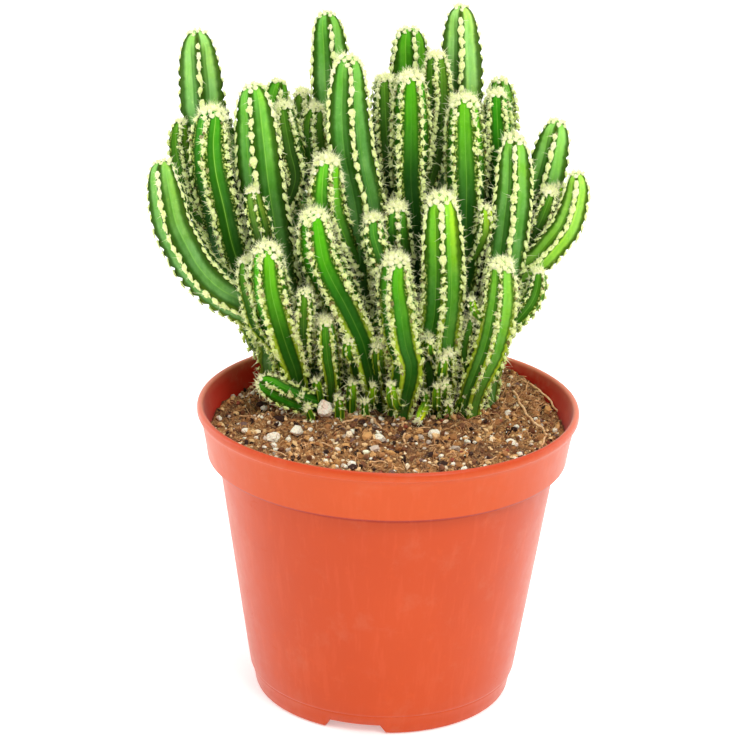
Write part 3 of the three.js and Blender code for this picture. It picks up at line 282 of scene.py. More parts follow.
class Line:
    """A centre line with its length, and the rib frame carried down it without turning."""

    def __init__(self, pts):
        self.C = catmull(pts)
        seg = np.linalg.norm(np.diff(self.C, axis=0), axis=1)
        self.s = np.concatenate([[0], np.cumsum(seg)])
        self.L = self.s[-1]
        self.ts = np.linspace(0, self.L, 241)
        P = np.stack([np.interp(self.ts, self.s, self.C[:, k]) for k in range(3)], 1)
        # a light smoothing takes the corners out of the sampled line
        for _ in range(36):
            P[1:-1] = 0.25 * P[:-2] + 0.5 * P[1:-1] + 0.25 * P[2:]
        self.P = P
        T = unit(np.gradient(P, axis=0))
        self.U = -T
        F = np.zeros_like(P)
        f = np.array([0.0, -1.0, 0.0])
        for i in range(len(P)):
            f = f - f.dot(self.U[i]) * self.U[i]
            f /= np.linalg.norm(f)
            F[i] = f
        self.F = F
        self.S = np.cross(self.U, F)

    def at(self, t):
        def ip(A):
            return np.stack([np.interp(t, self.ts, A[:, k]) for k in range(3)], -1)
        return ip(self.P), unit(ip(self.U)), unit(ip(self.F)), unit(ip(self.S))


class Geo:
    """Collects vertices, faces, materials and attributes of one piece."""

    def __init__(self):
        self.v, self.f3, self.f4, self.m3, self.m4, self.n = [], [], [], [], [], 0
        self.attr = []
        self.uv3, self.uv4 = [], []
        self.s3, self.s4 = [], []

    def add(self, v, tris=None, quads=None, mat=0, smooth=True, uv=None, **attrs):
        v = np.asarray(v, float).reshape(-1, 3)
        N = len(v)
        self.attr.append((N, {k: np.asarray(a, float) for k, a in attrs.items()}))
        uv = np.zeros((N, 2)) if uv is None else np.asarray(uv, float)
        for faces, store, mats, uvs, sm in ((tris, self.f3, self.m3, self.uv3, self.s3), (quads, self.f4, self.m4, self.uv4, self.s4)):
            if faces is not None and len(faces):
                faces = np.asarray(faces, int)
                store.append(faces + self.n)
                mats.append(np.broadcast_to(np.asarray(mat, int), (len(faces),)))
                sm.append(np.broadcast_to(np.asarray(smooth, bool), (len(faces),)))
                uvs.append(uv[faces].reshape(-1, 2))
        self.v.append(v)
        self.n += N

    def attributes(self):
        wide = {}
        for N, attrs in self.attr:
            for k, a in attrs.items():
                wide[k] = wide.get(k, False) or (a.ndim == 2 and a.shape[-1] == 3)
        out = {}
        for k, colour in wide.items():
            parts = []
            for N, attrs in self.attr:
                a = attrs.get(k, np.zeros(3) if colour else np.zeros(()))
                parts.append(np.broadcast_to(a, (N, 3) if colour else (N,)))
            out[k] = np.concatenate(parts, 0)
        return out

    def piece(self, name, materials, uv=False):
        V = np.vstack(self.v) * MM
        f3 = np.vstack(self.f3) if self.f3 else np.zeros((0, 3), int)
        f4 = np.vstack(self.f4) if self.f4 else np.zeros((0, 4), int)
        me = bpy.data.meshes.new(name)
        me.vertices.add(len(V))
        me.vertices.foreach_set("co", V.astype(np.float32).ravel())
        loops = np.concatenate([f3.ravel(), f4.ravel()])
        me.loops.add(len(loops))
        me.loops.foreach_set("vertex_index", loops.astype(np.int32))
        counts = np.concatenate([np.full(len(f3), 3), np.full(len(f4), 4)]).astype(np.int32)
        starts = np.concatenate([[0], np.cumsum(counts)[:-1]]).astype(np.int32)
        me.polygons.add(len(counts))
        me.polygons.foreach_set("loop_start", starts)
        mats = np.concatenate((self.m3 + self.m4) or [np.zeros(0, int)])
        me.polygons.foreach_set("material_index", mats.astype(np.int32))
        smooth = np.concatenate((self.s3 + self.s4) or [np.zeros(0, bool)])
        me.polygons.foreach_set("use_smooth", smooth)
        for key, a in self.attributes().items():
            if a.ndim == 2:
                layer = me.color_attributes.new(key, "FLOAT_COLOR", "POINT")
                layer.data.foreach_set("color", np.hstack([a, np.ones((len(a), 1))]).astype(np.float32).ravel())
            else:
                layer = me.attributes.new(key, "FLOAT", "POINT")
                layer.data.foreach_set("value", a.astype(np.float32))
        if uv:
            layer = me.uv_layers.new(name="OFBake")
            layer.data.foreach_set("uv", np.vstack(self.uv3 + self.uv4).astype(np.float32).ravel())
        me.update(calc_edges=True)
        me.validate()
        for m in materials:
            me.materials.append(m)
        ob = bpy.data.objects.new(name, me)
        bpy.context.scene.collection.objects.link(ob)
        return ob

    def triangles(self):
        return sum(len(f) for f in self.f3) + 2 * sum(len(f) for f in self.f4)


# ---- materials -----------------------------------------------------------------------------
class Nodes:
    """A few shortcuts for building a material's node tree."""

    def __init__(self, name):
        self.mat = bpy.data.materials.new(name)
        self.mat.use_nodes = True
        self.nt = self.mat.node_tree
        self.nt.nodes.clear()
        self.out = self.nt.nodes.new("ShaderNodeOutputMaterial")
        self.p = self.nt.nodes.new("ShaderNodeBsdfPrincipled")
        self.nt.links.new(self.p.outputs[0], self.out.inputs["Surface"])

    def node(self, kind, **values):
        n = self.nt.nodes.new(kind)
        for k, v in values.items():
            setattr(n, k, v)
        return n

    def put(self, socket, value):
        if isinstance(value, bpy.types.NodeSocket):
            self.nt.links.new(value, socket)
        else:
            socket.default_value = value

    def attr(self, name, kind="Fac"):
        return self.node("ShaderNodeAttribute", attribute_name=name).outputs[kind]

    def place(self):
        return self.node("ShaderNodeTexCoord").outputs["Object"]

    def noise(self, scale, detail=3.0, rough=0.55, vector=None, distortion=0.0):
        n = self.node("ShaderNodeTexNoise")
        n.inputs["Scale"].default_value = scale
        n.inputs["Detail"].default_value = detail
        n.inputs["Roughness"].default_value = rough
        n.inputs["Distortion"].default_value = distortion
        self.put(n.inputs["Vector"], vector if vector is not None else self.place())
        return n.outputs["Fac"]

    def voronoi(self, scale, vector=None, out="Distance", randomness=1.0):
        n = self.node("ShaderNodeTexVoronoi")
        n.inputs["Scale"].default_value = scale
        n.inputs["Randomness"].default_value = randomness
        self.put(n.inputs["Vector"], vector if vector is not None else self.place())
        return n.outputs[out]

    def math(self, op, a, b=0.0, clamp=False):
        n = self.node("ShaderNodeMath", operation=op, use_clamp=clamp)
        self.put(n.inputs[0], a)
        self.put(n.inputs[1], b)
        return n.outputs[0]

    def range(self, x, a, b, c=0.0, d=1.0, kind="SMOOTHSTEP"):
        n = self.node("ShaderNodeMapRange", interpolation_type=kind)
        self.put(n.inputs["Value"], x)
        for key, v in (("From Min", a), ("From Max", b), ("To Min", c), ("To Max", d)):
            n.inputs[key].default_value = v
        return n.outputs["Result"]

    def mix(self, fac, a, b, blend="MIX"):
        n = self.node("ShaderNodeMix", data_type="RGBA", blend_type=blend)
        self.put(n.inputs[0], fac)
        for i, v in ((6, a), (7, b)):
            if not isinstance(v, bpy.types.NodeSocket):
                v = (*[float(x) for x in v][:3], 1.0)
            self.put(n.inputs[i], v)
        return n.outputs[2]

    def ramp(self, x, stops):
        n = self.node("ShaderNodeValToRGB")
        cr = n.color_ramp
        while len(cr.elements) < len(stops):
            cr.elements.new(0.5)
        for e, (pos, col) in zip(cr.elements, stops):
            e.position = pos
            e.color = (*[float(c) for c in col][:3], 1.0)
        self.put(n.inputs["Fac"], x)
        return n.outputs["Color"]

    def bump(self, height, strength=0.3, distance=0.0002, normal=None):
        n = self.node("ShaderNodeBump")
        n.inputs["Strength"].default_value = strength
        n.inputs["Distance"].default_value = distance
        self.put(n.inputs["Height"], height)
        if normal is not None:
            self.put(n.inputs["Normal"], normal)
        return n.outputs["Normal"]

    def set(self, **sockets):
        for k, v in sockets.items():
            k = k.replace("_", " ")
            if isinstance(v, (tuple, list, np.ndarray)) and k in ("Base Color", "Subsurface Radius", "Sheen Tint"):
                v = tuple(float(x) for x in v)
                if k != "Subsurface Radius" and len(v) == 3:
                    v = (*v, 1.0)
            self.put(self.p.inputs[k], v)
        return self.mat


def skin_material():
    n = Nodes("stem_skin")
    tint = n.attr("tint", "Color")
    rib = n.attr("rib")
    own = n.attr("own")
    bloom = n.attr("bloom")
    crest = n.attr("crest")
    broad = n.noise(70, 3, 0.55)
    fine = n.noise(900, 4, 0.6)
    # slow drift of hue along and round the stem, each flank a little its own, with the flanks that face right and up
    # painted lighter: painted light
    plain = n.math("SUBTRACT", 1.0, bloom)
    c = n.mix(n.math("MULTIPLY", n.range(n.math("ADD", broad, n.math("MULTIPLY", own, -.25)), .36, .72, 0, .8), plain), tint, (.52, .84, .30), "MULTIPLY")
    c = n.mix(n.range(n.math("ADD", broad, n.math("MULTIPLY", own, .3)), .46, .78, 0, .8), c, (1.7, 1.22, .6), "MULTIPLY")
    # waxy bloom, patchy, thicker on the flanks than on the crest
    b = n.math("MULTIPLY", bloom, n.range(n.noise(160, 4, .6), .3, .68, .35, 1.0))
    b = n.math("MULTIPLY", b, n.range(rib, .62, .9, 1.0, .15))
    c = n.mix(n.math("MULTIPLY", b, .8), c, lin((158, 212, 132)))
    # faint streaks that run up the stem
    sq = n.node("ShaderNodeMapping")
    sq.inputs["Scale"].default_value = (1.0, 1.0, 0.12)
    n.put(sq.inputs["Vector"], n.place())
    streak = n.noise(900, 3, .6, vector=sq.outputs[0])
    c = n.mix(n.range(streak, .50, .72, 0, .5), c, (1.45, 1.22, 1.2), "MULTIPLY")
    c = n.mix(n.range(streak, .28, .46, .5, 0), c, (.62, .80, .5), "MULTIPLY")
    # fine pale flecks (stomata) and darker pores
    c = n.mix(n.range(fine, .58, .72, 0, .6), c, (1.7, 1.36, 1.5), "MULTIPLY")
    c = n.mix(n.math("MULTIPLY", n.range(fine, .26, .42, .6, 0), plain), c, (.55, .74, .4), "MULTIPLY")
    # the valley is painted lighter, with a thin pale line that is the skin's own tone and a painted highlight; the
    # flank is painted darker towards the crest, painted shade
    vein = n.attr("vein")
    c = n.mix(n.math("MULTIPLY", n.range(rib, .0, .30, .40, 0), vein), c, lin((112, 188, 36)))
    c = n.mix(n.math("MULTIPLY", n.range(rib, .0, .05, 1.0, 0), vein), c, lin((168, 224, 92)))
    c = n.mix(n.range(n.math("ADD", rib, n.math("MULTIPLY", n.math("SUBTRACT", n.noise(420, 3, .6), .5), .16)), .44, .74, 0, .80), c, lin((30, 76, 2)))
    # and is painted darker still on the flank that faces into the clump: painted shade
    c = n.mix(n.math("MULTIPLY", n.attr("shade"), .62), c, lin((36, 90, 6)))
    # the crest itself: pale olive in the notches, dark at the teeth that carry the areoles
    c = n.mix(n.math("MULTIPLY", crest, .7), c, lin((70, 92, 14)))
    c = n.mix(n.math("MULTIPLY", n.attr("tooth"), .85), c, lin((52, 56, 8)))
    # low down in front the crest itself is a lime strip, where the wool has worn off
    c = n.mix(n.math("MULTIPLY", n.attr("strip"), n.range(n.math("ADD", rib, n.math("MULTIPLY", n.math("SUBTRACT", n.noise(500, 3, .6), .5), .10)), .64, .86, 0, .9)), c, lin((184, 216, 50)))
    # short felt and brown bristle bases on the crest, between the cushions of a cluster
    felt = n.attr("felt")
    patch = n.noise(1150, 3, .65)
    band = n.math("MULTIPLY", felt, n.range(n.math("ADD", rib, n.math("MULTIPLY", n.math("SUBTRACT", patch, .5), .20)), .66, .84, 0, 1))
    c = n.mix(n.math("MULTIPLY", band, n.range(patch, .50, .58, 0, .88)), c, lin((196, 216, 110)))
    c = n.mix(n.math("MULTIPLY", band, n.range(n.noise(1500, 3, .6), .57, .65, 0, .55)), c, lin((96, 92, 28)))
    # old corky skin low down
    low = n.attr("low")
    c = n.mix(n.math("MULTIPLY", low, n.range(n.noise(240, 4, .7), .42, .66, 0, .8)), c, lin((104, 98, 44)))
    # painted shade where other stems crowd round, darkest low in the clump
    painted_shade = n.attr("dark")
    c = n.mix(painted_shade, c, lin((8, 32, 2)))
    height = n.math("ADD", n.math("MULTIPLY", fine, .5), n.math("ADD", n.math("MULTIPLY", n.noise(2600, 2, .5), .3), n.math("MULTIPLY", streak, .5)))
    n.set(Base_Color=c,
          Roughness=n.range(n.noise(300, 3), .3, .7, .40, .56, "LINEAR"),
          Normal=n.bump(height, .25, .00018))
    n.p.inputs["Specular IOR Level"].default_value = 0.05
    n.p.inputs["Subsurface Weight"].default_value = 0.10
    n.p.inputs["Subsurface Radius"].default_value = (0.5, 1.0, 0.2)
    n.p.inputs["Subsurface Scale"].default_value = 0.0014
    return n.mat


def wool_material():
    n = Nodes("areole_wool")
    core = n.attr("core")
    tone = n.attr("tone")
    f = n.noise(1900, 4, .7)
    lime = n.attr("lime")
    c = n.mix(n.range(f, .3, .7), lin((222, 238, 128)), lin((242, 250, 190)))
    c = n.mix(n.math("MULTIPLY", lime, .85), c, lin((204, 232, 84)))
    c = n.mix(n.math("MULTIPLY", tone, .75), c, lin((253, 243, 222)))
    c = n.mix(core, c, lin((112, 98, 40)))
    n.set(Base_Color=c, Roughness=.9, Normal=n.bump(f, .6, .0003))
    n.p.inputs["Sheen Weight"].default_value = 0.12
    n.p.inputs["Sheen Roughness"].default_value = 0.6
    n.p.inputs["Specular IOR Level"].default_value = 0.2
    n.p.inputs["Subsurface Weight"].default_value = 0.15
    n.p.inputs["Subsurface Radius"].default_value = (1.0, 0.9, 0.5)
    n.p.inputs["Subsurface Scale"].default_value = 0.0008
    return n.mat


def spine_material():
    n = Nodes("spine")
    along = n.attr("core")
    c = n.ramp(along, [(0.0, lin((244, 250, 176))), (0.45, lin((252, 255, 212))), (0.85, lin((252, 250, 214))), (1.0, lin((214, 184, 130)))])
    c = n.mix(n.range(n.noise(700, 2), .4, .62, 0, .3), c, lin((226, 232, 140)))
    n.set(Base_Color=c, Roughness=.55)
    n.p.inputs["Specular IOR Level"].default_value = 0.3
    return n.mat


def pot_material():
    n = Nodes("pot_plastic")
    place = n.place()
    z = n.node("ShaderNodeSeparateXYZ")
    n.put(z.inputs[0], place)
    z = z.outputs[2]
    inner = n.attr("inner")
    lip = n.attr("lip")
    broad = n.noise(18, 3, .55)
    mott = n.noise(220, 4, .65)
    grain = n.noise(3200, 3, .6)
    c = n.mix(n.range(broad, .3, .7), lin((184, 61, 1)), lin((191, 66, 4)))
    c = n.mix(n.range(mott, .55, .75, 0, .16), c, lin((212, 84, 28)))
    c = n.mix(n.range(mott, .25, .42, .16, 0), c, lin((188, 58, 6)))
    # the collar is painted a little lighter than the body: painted light
    c = n.mix(n.range(z, .0785, .0800, 0, .35), c, lin((210, 88, 26)))
    # painted shade in the sharp corner under the collar, and on the collar's lower edge
    crease_shade = n.math("MULTIPLY", n.range(z, .0767, .0778, 0, .92), n.range(z, .0791, .0797, 1, 0))
    c = n.mix(crease_shade, c, lin((146, 20, 0)))
    # painted light: the inside of the wall is painted a deeper, more saturated red, as light bounced round inside the
    # pot makes it
    c = n.mix(n.math("MULTIPLY", inner, .88), c, lin((202, 22, 2)))
    # the lip is painted paler at the back and the sides, a painted highlight, and plain in front
    y = n.node("ShaderNodeSeparateXYZ")
    n.put(y.inputs[0], place)
    y = y.outputs[1]
    c = n.mix(n.math("MULTIPLY", lip, .75), c, n.mix(n.range(y, -.042, .004), lin((186, 54, 6)), lin((226, 134, 108))))
    # dust and water marks low on the inside and under the lip
    dust = n.math("MULTIPLY", n.range(n.noise(90, 5, .7), .52, .72), n.math("ADD", n.math("MULTIPLY", inner, .12), .05))
    c = n.mix(dust, c, lin((214, 168, 140)))
    # fine vertical flow streaks of the moulding
    sq = n.node("ShaderNodeMapping")
    sq.inputs["Scale"].default_value = (1.0, 1.0, 0.06)
    n.put(sq.inputs["Vector"], place)
    streak = n.noise(420, 3, .6, vector=sq.outputs[0])
    c = n.mix(n.range(streak, .5, .7, 0, .10), c, lin((222, 100, 60)))
    scuff = n.range(n.noise(60, 6, .8, distortion=1.5), .6, .68)
    n.set(Base_Color=c,
          Roughness=n.math("ADD", n.range(mott, .3, .7, .34, .44, "LINEAR"), n.math("MULTIPLY", scuff, .12)),
          Normal=n.bump(n.math("ADD", n.math("MULTIPLY", grain, .5), n.math("MULTIPLY", streak, .5)), .10, .0001))
    n.p.inputs["Specular IOR Level"].default_value = 0.30
    n.p.inputs["Sheen Weight"].default_value = 0.205
    n.p.inputs["Sheen Roughness"].default_value = 0.35
    n.p.inputs["Subsurface Weight"].default_value = 0.05
    n.p.inputs["Subsurface Radius"].default_value = (1.0, 0.25, 0.08)
    n.p.inputs["Subsurface Scale"].default_value = 0.002
    return n.mat


def soil_material():
    n = Nodes("soil")
    a = n.noise(360, 5, .72)
    b = n.noise(1500, 4, .7)
    v = n.voronoi(560)
    c = n.mix(n.range(a, .34, .66), lin((76, 44, 30)), lin((184, 128, 76)))
    c = n.mix(n.range(b, .48, .70, 0, .8), c, lin((236, 198, 142)))
    c = n.mix(n.range(v, .0, .26, .8, 0), c, lin((26, 15, 13)))
    c = n.mix(n.range(n.noise(90, 3), .5, .7, 0, .55), c, lin((74, 42, 38)))
    h = n.math("ADD", n.math("MULTIPLY", a, .7), n.math("MULTIPLY", b, .5))
    n.set(Base_Color=c, Roughness=.92, Normal=n.bump(h, .9, .0012))
    n.p.inputs["Specular IOR Level"].default_value = 0.2
    return n.mat


def crumb_material():
    n = Nodes("soil_crumb")
    tint = n.attr("tint", "Color")
    b = n.noise(1300, 4, .7)
    c = n.mix(n.range(b, .48, .26, 0, .5), tint, lin((40, 24, 18)))
    c = n.mix(n.range(b, .56, .76, 0, .5), c, lin((232, 200, 156)))
    n.set(Base_Color=c, Roughness=.9, Normal=n.bump(b, .8, .0005))
    n.p.inputs["Specular IOR Level"].default_value = 0.2
    return n.mat


def perlite_material(name, pinkish):
    n = Nodes(name)
    a = n.noise(900, 5, .7)
    v = n.voronoi(1500)
    base = n.mix(n.range(a, .3, .7), lin((244, 232, 206)), lin((255, 252, 234)))
    if pinkish:
        base = n.mix(n.range(n.noise(260, 3), .42, .66, 0, .75), base, lin((246, 196, 172)))
    c = n.mix(n.range(v, .0, .25, .5, 0), base, lin((176, 150, 122)))
    c = n.mix(n.range(n.noise(300, 4, .7), .58, .72, 0, .5), c, lin((176, 134, 96)))
    n.set(Base_Color=c, Roughness=.85, Normal=n.bump(n.math("ADD", a, v), .8, .0006))
    n.p.inputs["Subsurface Weight"].default_value = 0.1
    n.p.inputs["Subsurface Scale"].default_value = 0.001
    return n.mat


def root_material():
    n = Nodes("root")
    a = n.noise(700, 4, .7)
    c = n.ramp(a, [(0.25, lin((160, 112, 72))), (0.5, lin((222, 174, 122))), (0.72, lin((246, 216, 176)))])
    n.set(Base_Color=c, Roughness=.75, Normal=n.bump(a, .6, .0003))
    return n.mat


def fibre_material():
    n = Nodes("soil_fibre")
    a = n.noise(500, 3, .6)
    c = n.ramp(a, [(0.25, lin((116, 72, 42))), (0.5, lin((200, 146, 94))), (0.75, lin((238, 200, 150)))])
    n.set(Base_Color=c, Roughness=.8, Normal=n.bump(a, .4, .0002))
    return n.mat


MAT_SKIN, MAT_WOOL, MAT_SPINE = skin_material(), wool_material(), spine_material()
MAT_POT, MAT_SOIL, MAT_CRUMB = pot_material(), soil_material(), crumb_material()
MAT_PERLITE, MAT_PINK = perlite_material("perlite", False), perlite_material("perlite_pinkish", True)
MAT_ROOT, MAT_FIBRE = root_material(), fibre_material()


# ---- stems ---------------------------------------------------------------------------------
# angles of the section's points in one rib, from a crest to the next, and how far each is up
# the flank: 0 in the valley, 1 on the crest
ANGLES = np.array([0, 3.2, 8.5, 18, 29, 36, 43, 54, 63.5, 68.8])
ANGLES_MID = np.array([0, 4, 13, 26, 36, 46, 59, 68])
ANGLES_SMALL = np.array([0, 9, 28, 44, 63])
EPS = 2.4


def section(a, v):
    """Radius of the rib's outline at the angle a (degrees) from the nearest crest, valley share v."""
    return outline(a, v) / outline(np.zeros_like(a), v)


def outline(a, v):
    a = np.abs(a)
    a = np.where(a > 36, 72 - a, a)
    a1 = np.sqrt(a * a + EPS * EPS) - 0.35 * EPS
    a2 = 36 - np.sqrt((36 - a1) ** 2 + 2.0 ** 2) + 0.3
    a2 = np.clip(a2, 0, 36)
    s36 = math.sin(math.radians(36))
    r = v * s36 / (v * np.sin(np.radians(36 - a2)) + np.sin(np.radians(a2)))
    return r * (1 + .018 * np.sin(np.pi * a2 / 36))


class Stem:
    def __init__(self, name, radius, phase, twist, rooted, parent, pts, look=None):
        self.name, self.R, self.phase, self.twist, self.rooted, self.parent = name, radius, phase, twist, rooted, parent
        self.line = Line(pts)
        self.L = self.line.L
        (self.top, self.bottom, self.bloom, self.p0, self.p1, self.w0, self.w1, self.crown) = look or LOOK[name]
        self.chain = CHAIN.get(name, 0)
        self.vein = VEIN_AND_GLINT.get(name, .4)
        # running count of areoles down the stem
        t = self.line.ts
        pitch = self.p0 + (self.p1 - self.p0) * smoothstep(.25 * self.L, .75 * self.L, t)
        pitch = pitch * (.55 + .45 * smoothstep(0, 1.5 * self.R, t))
        self.count = np.concatenate([[0], np.cumsum(np.diff(t) / ((pitch[1:] + pitch[:-1]) / 2))])

    def radius(self, t):
        foot = ROOTED_FOOT if self.rooted else BRANCH_FOOT
        return self.R * smooth_table(DOME, t / self.R) * smooth_table(foot, self.L - t)

    def valley(self, t):
        return DEEP + (.86 - DEEP) * np.clip(1 - t / (1.2 * self.R), 0, 1)

    def number(self, t):
        return np.interp(t, self.line.ts, self.count)

    def offset(self, k):
        return (.4 * k + .13) % 1.0

    def swell(self, t, k):
        """0 in the notch between two areoles of rib k, 1 at an areole."""
        f = (self.number(t) + self.offset(k)) % 1.0
        return np.abs(np.cos(np.pi * f)) ** .8

    def surface(self, t, k, a):
        """Points on the skin at the distances t below the tip, rib k, angle a from its crest."""
        P, U, F, S = self.line.at(t)
        r = self.radius(t) * section(a, self.valley(t))
        w = np.exp(-(np.minimum(np.abs(a), 72 - np.abs(a)) / 10.0) ** 2)
        kk = np.where(np.abs(a) > 36, (k + 1) % RIBS, k)
        broad = .32 * np.exp(-(np.minimum(np.abs(a), 72 - np.abs(a)) / 22.0) ** 2)
        notch = (1 - self.swell(t, kk)) * (w + broad) * np.minimum(.13, (.92 if self.chain else .80) / self.R) * smoothstep(.05 * self.R, .5 * self.R, t)
        r = r * (1 - notch)
        ang = np.radians(self.phase + self.twist * t / self.L + 72 * k + a)
        d = F * np.cos(ang)[..., None] + S * np.sin(ang)[..., None]
        return P + d * r[..., None], d, U


STEM = {}
for row in STEMS:
    STEM[row[0]] = Stem(*row)


def inside_others(pts, me, share=.86):
    """Which points lie inside the body of another stem."""
    hidden = np.zeros(len(pts), bool)
    for other in STEM.values():
        if other is me:
            continue
        t = other.line.ts[::4]
        P = other.line.P[::4]
        reach = other.R + 1
        lo, hi = P.min(0) - reach, P.max(0) + reach
        near = np.nonzero(((pts > lo) & (pts < hi)).all(1) & ~hidden)[0]
        if not len(near):
            continue
        d = np.linalg.norm(pts[near][:, None] - P[None], axis=2)
        j = d.argmin(1)
        rad_here = other.radius(t[j])
        hidden[near[(d[np.arange(len(near)), j] < rad_here * share)]] = True
    return hidden


def crowding(pts, me):
    """Rough share of the surroundings of each point that other stems fill, 0 to 1."""
    total = np.zeros(len(pts))
    for other in STEM.values():
        if other is me:
            continue
        P = other.line.P[::12]
        t = other.line.ts[::12]
        r = other.radius(t)
        lo, hi = P.min(0) - 22, P.max(0) + 22
        near = np.nonzero(((pts > lo) & (pts < hi)).all(1))[0]
        if not len(near):
            continue
        d = np.linalg.norm(pts[near][:, None] - P[None], axis=2) - r[None]
        total[near] += np.exp(-(np.maximum(d.min(1), 0) / 6.0)) * min(1.0, other.R / 6)
    return total


def stem_tree():
    """A search tree of all the stems, roughly, to find what is hidden deep in the clump."""
    V, F = [], []
    for st in STEM.values():
        t = np.arange(1.0, st.L, 3.5)
        a = np.tile(np.arange(5) * 72.0, 1)
        rows = []
        for tt in t:
            p, _, _ = st.surface(np.full(10, tt), np.repeat(np.arange(5), 2), np.tile([0.0, 36.0], 5))
            rows.append(p)
        if len(rows) < 2:
            continue
        s = len(V)
        V.extend(map(tuple, np.vstack(rows)))
        for i in range(len(rows) - 1):
            for j in range(10):
                q, r = s + i * 10 + j, s + i * 10 + (j + 1) % 10
                F.append((q, r, r + 10, q + 10))
        F.append(tuple(s + j for j in range(10)))
    return BVHTree.FromPolygons(V, F)


TREE = stem_tree()
RAYS = unit(np.array([(math.cos(2.39996 * i) * math.sqrt(1 - ((i + .5) / 26 * 1.5 - .5) ** 2), math.sin(2.39996 * i) * math.sqrt(1 - ((i + .5) / 26 * 1.5 - .5) ** 2),
                       (i + .5) / 26 * 1.5 - .5) for i in range(26)]))


def openness(O, N):
    """Share of the directions round N that see out of the clump from each O."""
    out = np.zeros(len(O))
    for i, (o, n) in enumerate(zip(O, N)):
        ways = RAYS[RAYS @ n > -.1]
        start = Vector(o + n * 1.0)
        free = sum(1 for d in ways if TREE.ray_cast(start, Vector(d), 150.0)[0] is None)
        out[i] = free / max(len(ways), 1)
    return out


# an icosahedron: one lump of wool, a crumb or a grain when shaken; and a thin closed cone
GOLD = (1 + 5 ** .5) / 2
ICO_V = unit(np.array([(-1, GOLD, 0), (1, GOLD, 0), (-1, -GOLD, 0), (1, -GOLD, 0), (0, -1, GOLD), (0, 1, GOLD), (0, -1, -GOLD), (0, 1, -GOLD),
                       (GOLD, 0, -1), (GOLD, 0, 1), (-GOLD, 0, -1), (-GOLD, 0, 1)], float))
ICO_F = np.array([(0, 11, 5), (0, 5, 1), (0, 1, 7), (0, 7, 10), (0, 10, 11), (1, 5, 9), (5, 11, 4), (11, 10, 2), (10, 7, 6), (7, 1, 8), (3, 9, 4), (3, 4, 2), (3, 2, 6), (3, 6, 8),
                  (3, 8, 9), (4, 9, 5), (2, 4, 11), (6, 2, 10), (8, 6, 7), (9, 8, 1)], int)
PUFF_V, PUFF_F = ICO_V, ICO_F
# a smaller lump with fewer faces
LUMP_V = np.array([(0, 0, 1.0), (0, 0, -1.0)] + [(math.cos(a), math.sin(a), .05 * (-1) ** i) for i, a in enumerate(np.arange(5) * 2 * np.pi / 5)], float)
LUMP_F = np.array([(0, 2 + i, 2 + (i + 1) % 5) for i in range(5)] + [(1, 2 + (i + 1) % 5, 2 + i) for i in range(5)], int)
CONE_V = np.array([(math.cos(a), math.sin(a), 0) for a in (0, 2.0944, 4.1888)] + [(0, 0, 1)], float)
CONE_F = np.array([(0, 1, 3), (1, 2, 3), (2, 0, 3), (0, 2, 1)], int)


def frames_for(n, rng, roll=True):
    """Two directions across each n, turned at random about it."""
    n = unit(n)
    ref = np.where(np.abs(n[:, 2:3]) < .9, [[0.0, 0, 1]], [[1.0, 0, 0]])
    u = unit(np.cross(ref, n))
    w = np.cross(n, u)
    if roll:
        a = rng.uniform(0, 2 * np.pi, len(n))[:, None]
        u, w = u * np.cos(a) + w * np.sin(a), w * np.cos(a) - u * np.sin(a)
    return u, w


def add_many(geo, V, faces, origin, u, w, n, su, sw, sn, jitter, mat, smooth, rng, uv=None, **attrs):
    """Copies of a small shape: V scaled by su, sw, sn along u, w, n at each origin."""
    N = len(origin)
    if not N:
        return
    X = np.broadcast_to(V[None], (N, *V.shape)).copy()
    if jitter:
        X = X * (1 + rng.uniform(-jitter, jitter, (N, len(V), 1)))
    X[..., 0] *= np.asarray(su).reshape(-1, 1)
    X[..., 1] *= np.asarray(sw).reshape(-1, 1)
    X[..., 2] *= np.asarray(sn).reshape(-1, 1)
    W = origin[:, None] + X[..., 0:1] * u[:, None] + X[..., 1:2] * w[:, None] + X[..., 2:3] * n[:, None]
    F = (faces[None] + (np.arange(N) * len(V))[:, None, None]).reshape(-1, 3)
    out = {}
    for k, a in attrs.items():
        a = np.asarray(a, float)
        out[k] = a.ravel() if a.ndim == 2 and a.shape == (N, len(V)) else np.repeat(np.broadcast_to(a, (N,)), len(V)) if a.ndim < 2 else np.repeat(a, len(V), 0)
    geo.add(W.reshape(-1, 3), tris=F, mat=mat, smooth=smooth, uv=None if uv is None else uv.reshape(-1, 2), **out)


def cell_uv(N, V, lo, hi):
    """A place of its own on the bake's map for each copy of a small shape seen from above."""
    across = max(1, int(math.ceil(math.sqrt(N * (hi[0] - lo[0]) / (hi[1] - lo[1])))))
    rows = max(1, int(math.ceil(N / across)))
    i = np.arange(N)
    c = np.stack([(i % across + .5) / across, (i // across + .5) / rows], 1)
    q = V[:, :2] * .42
    uv = c[:, None] + q[None] / np.array([across, rows])
    return uv * (np.array(hi) - lo) + lo


stats = {}


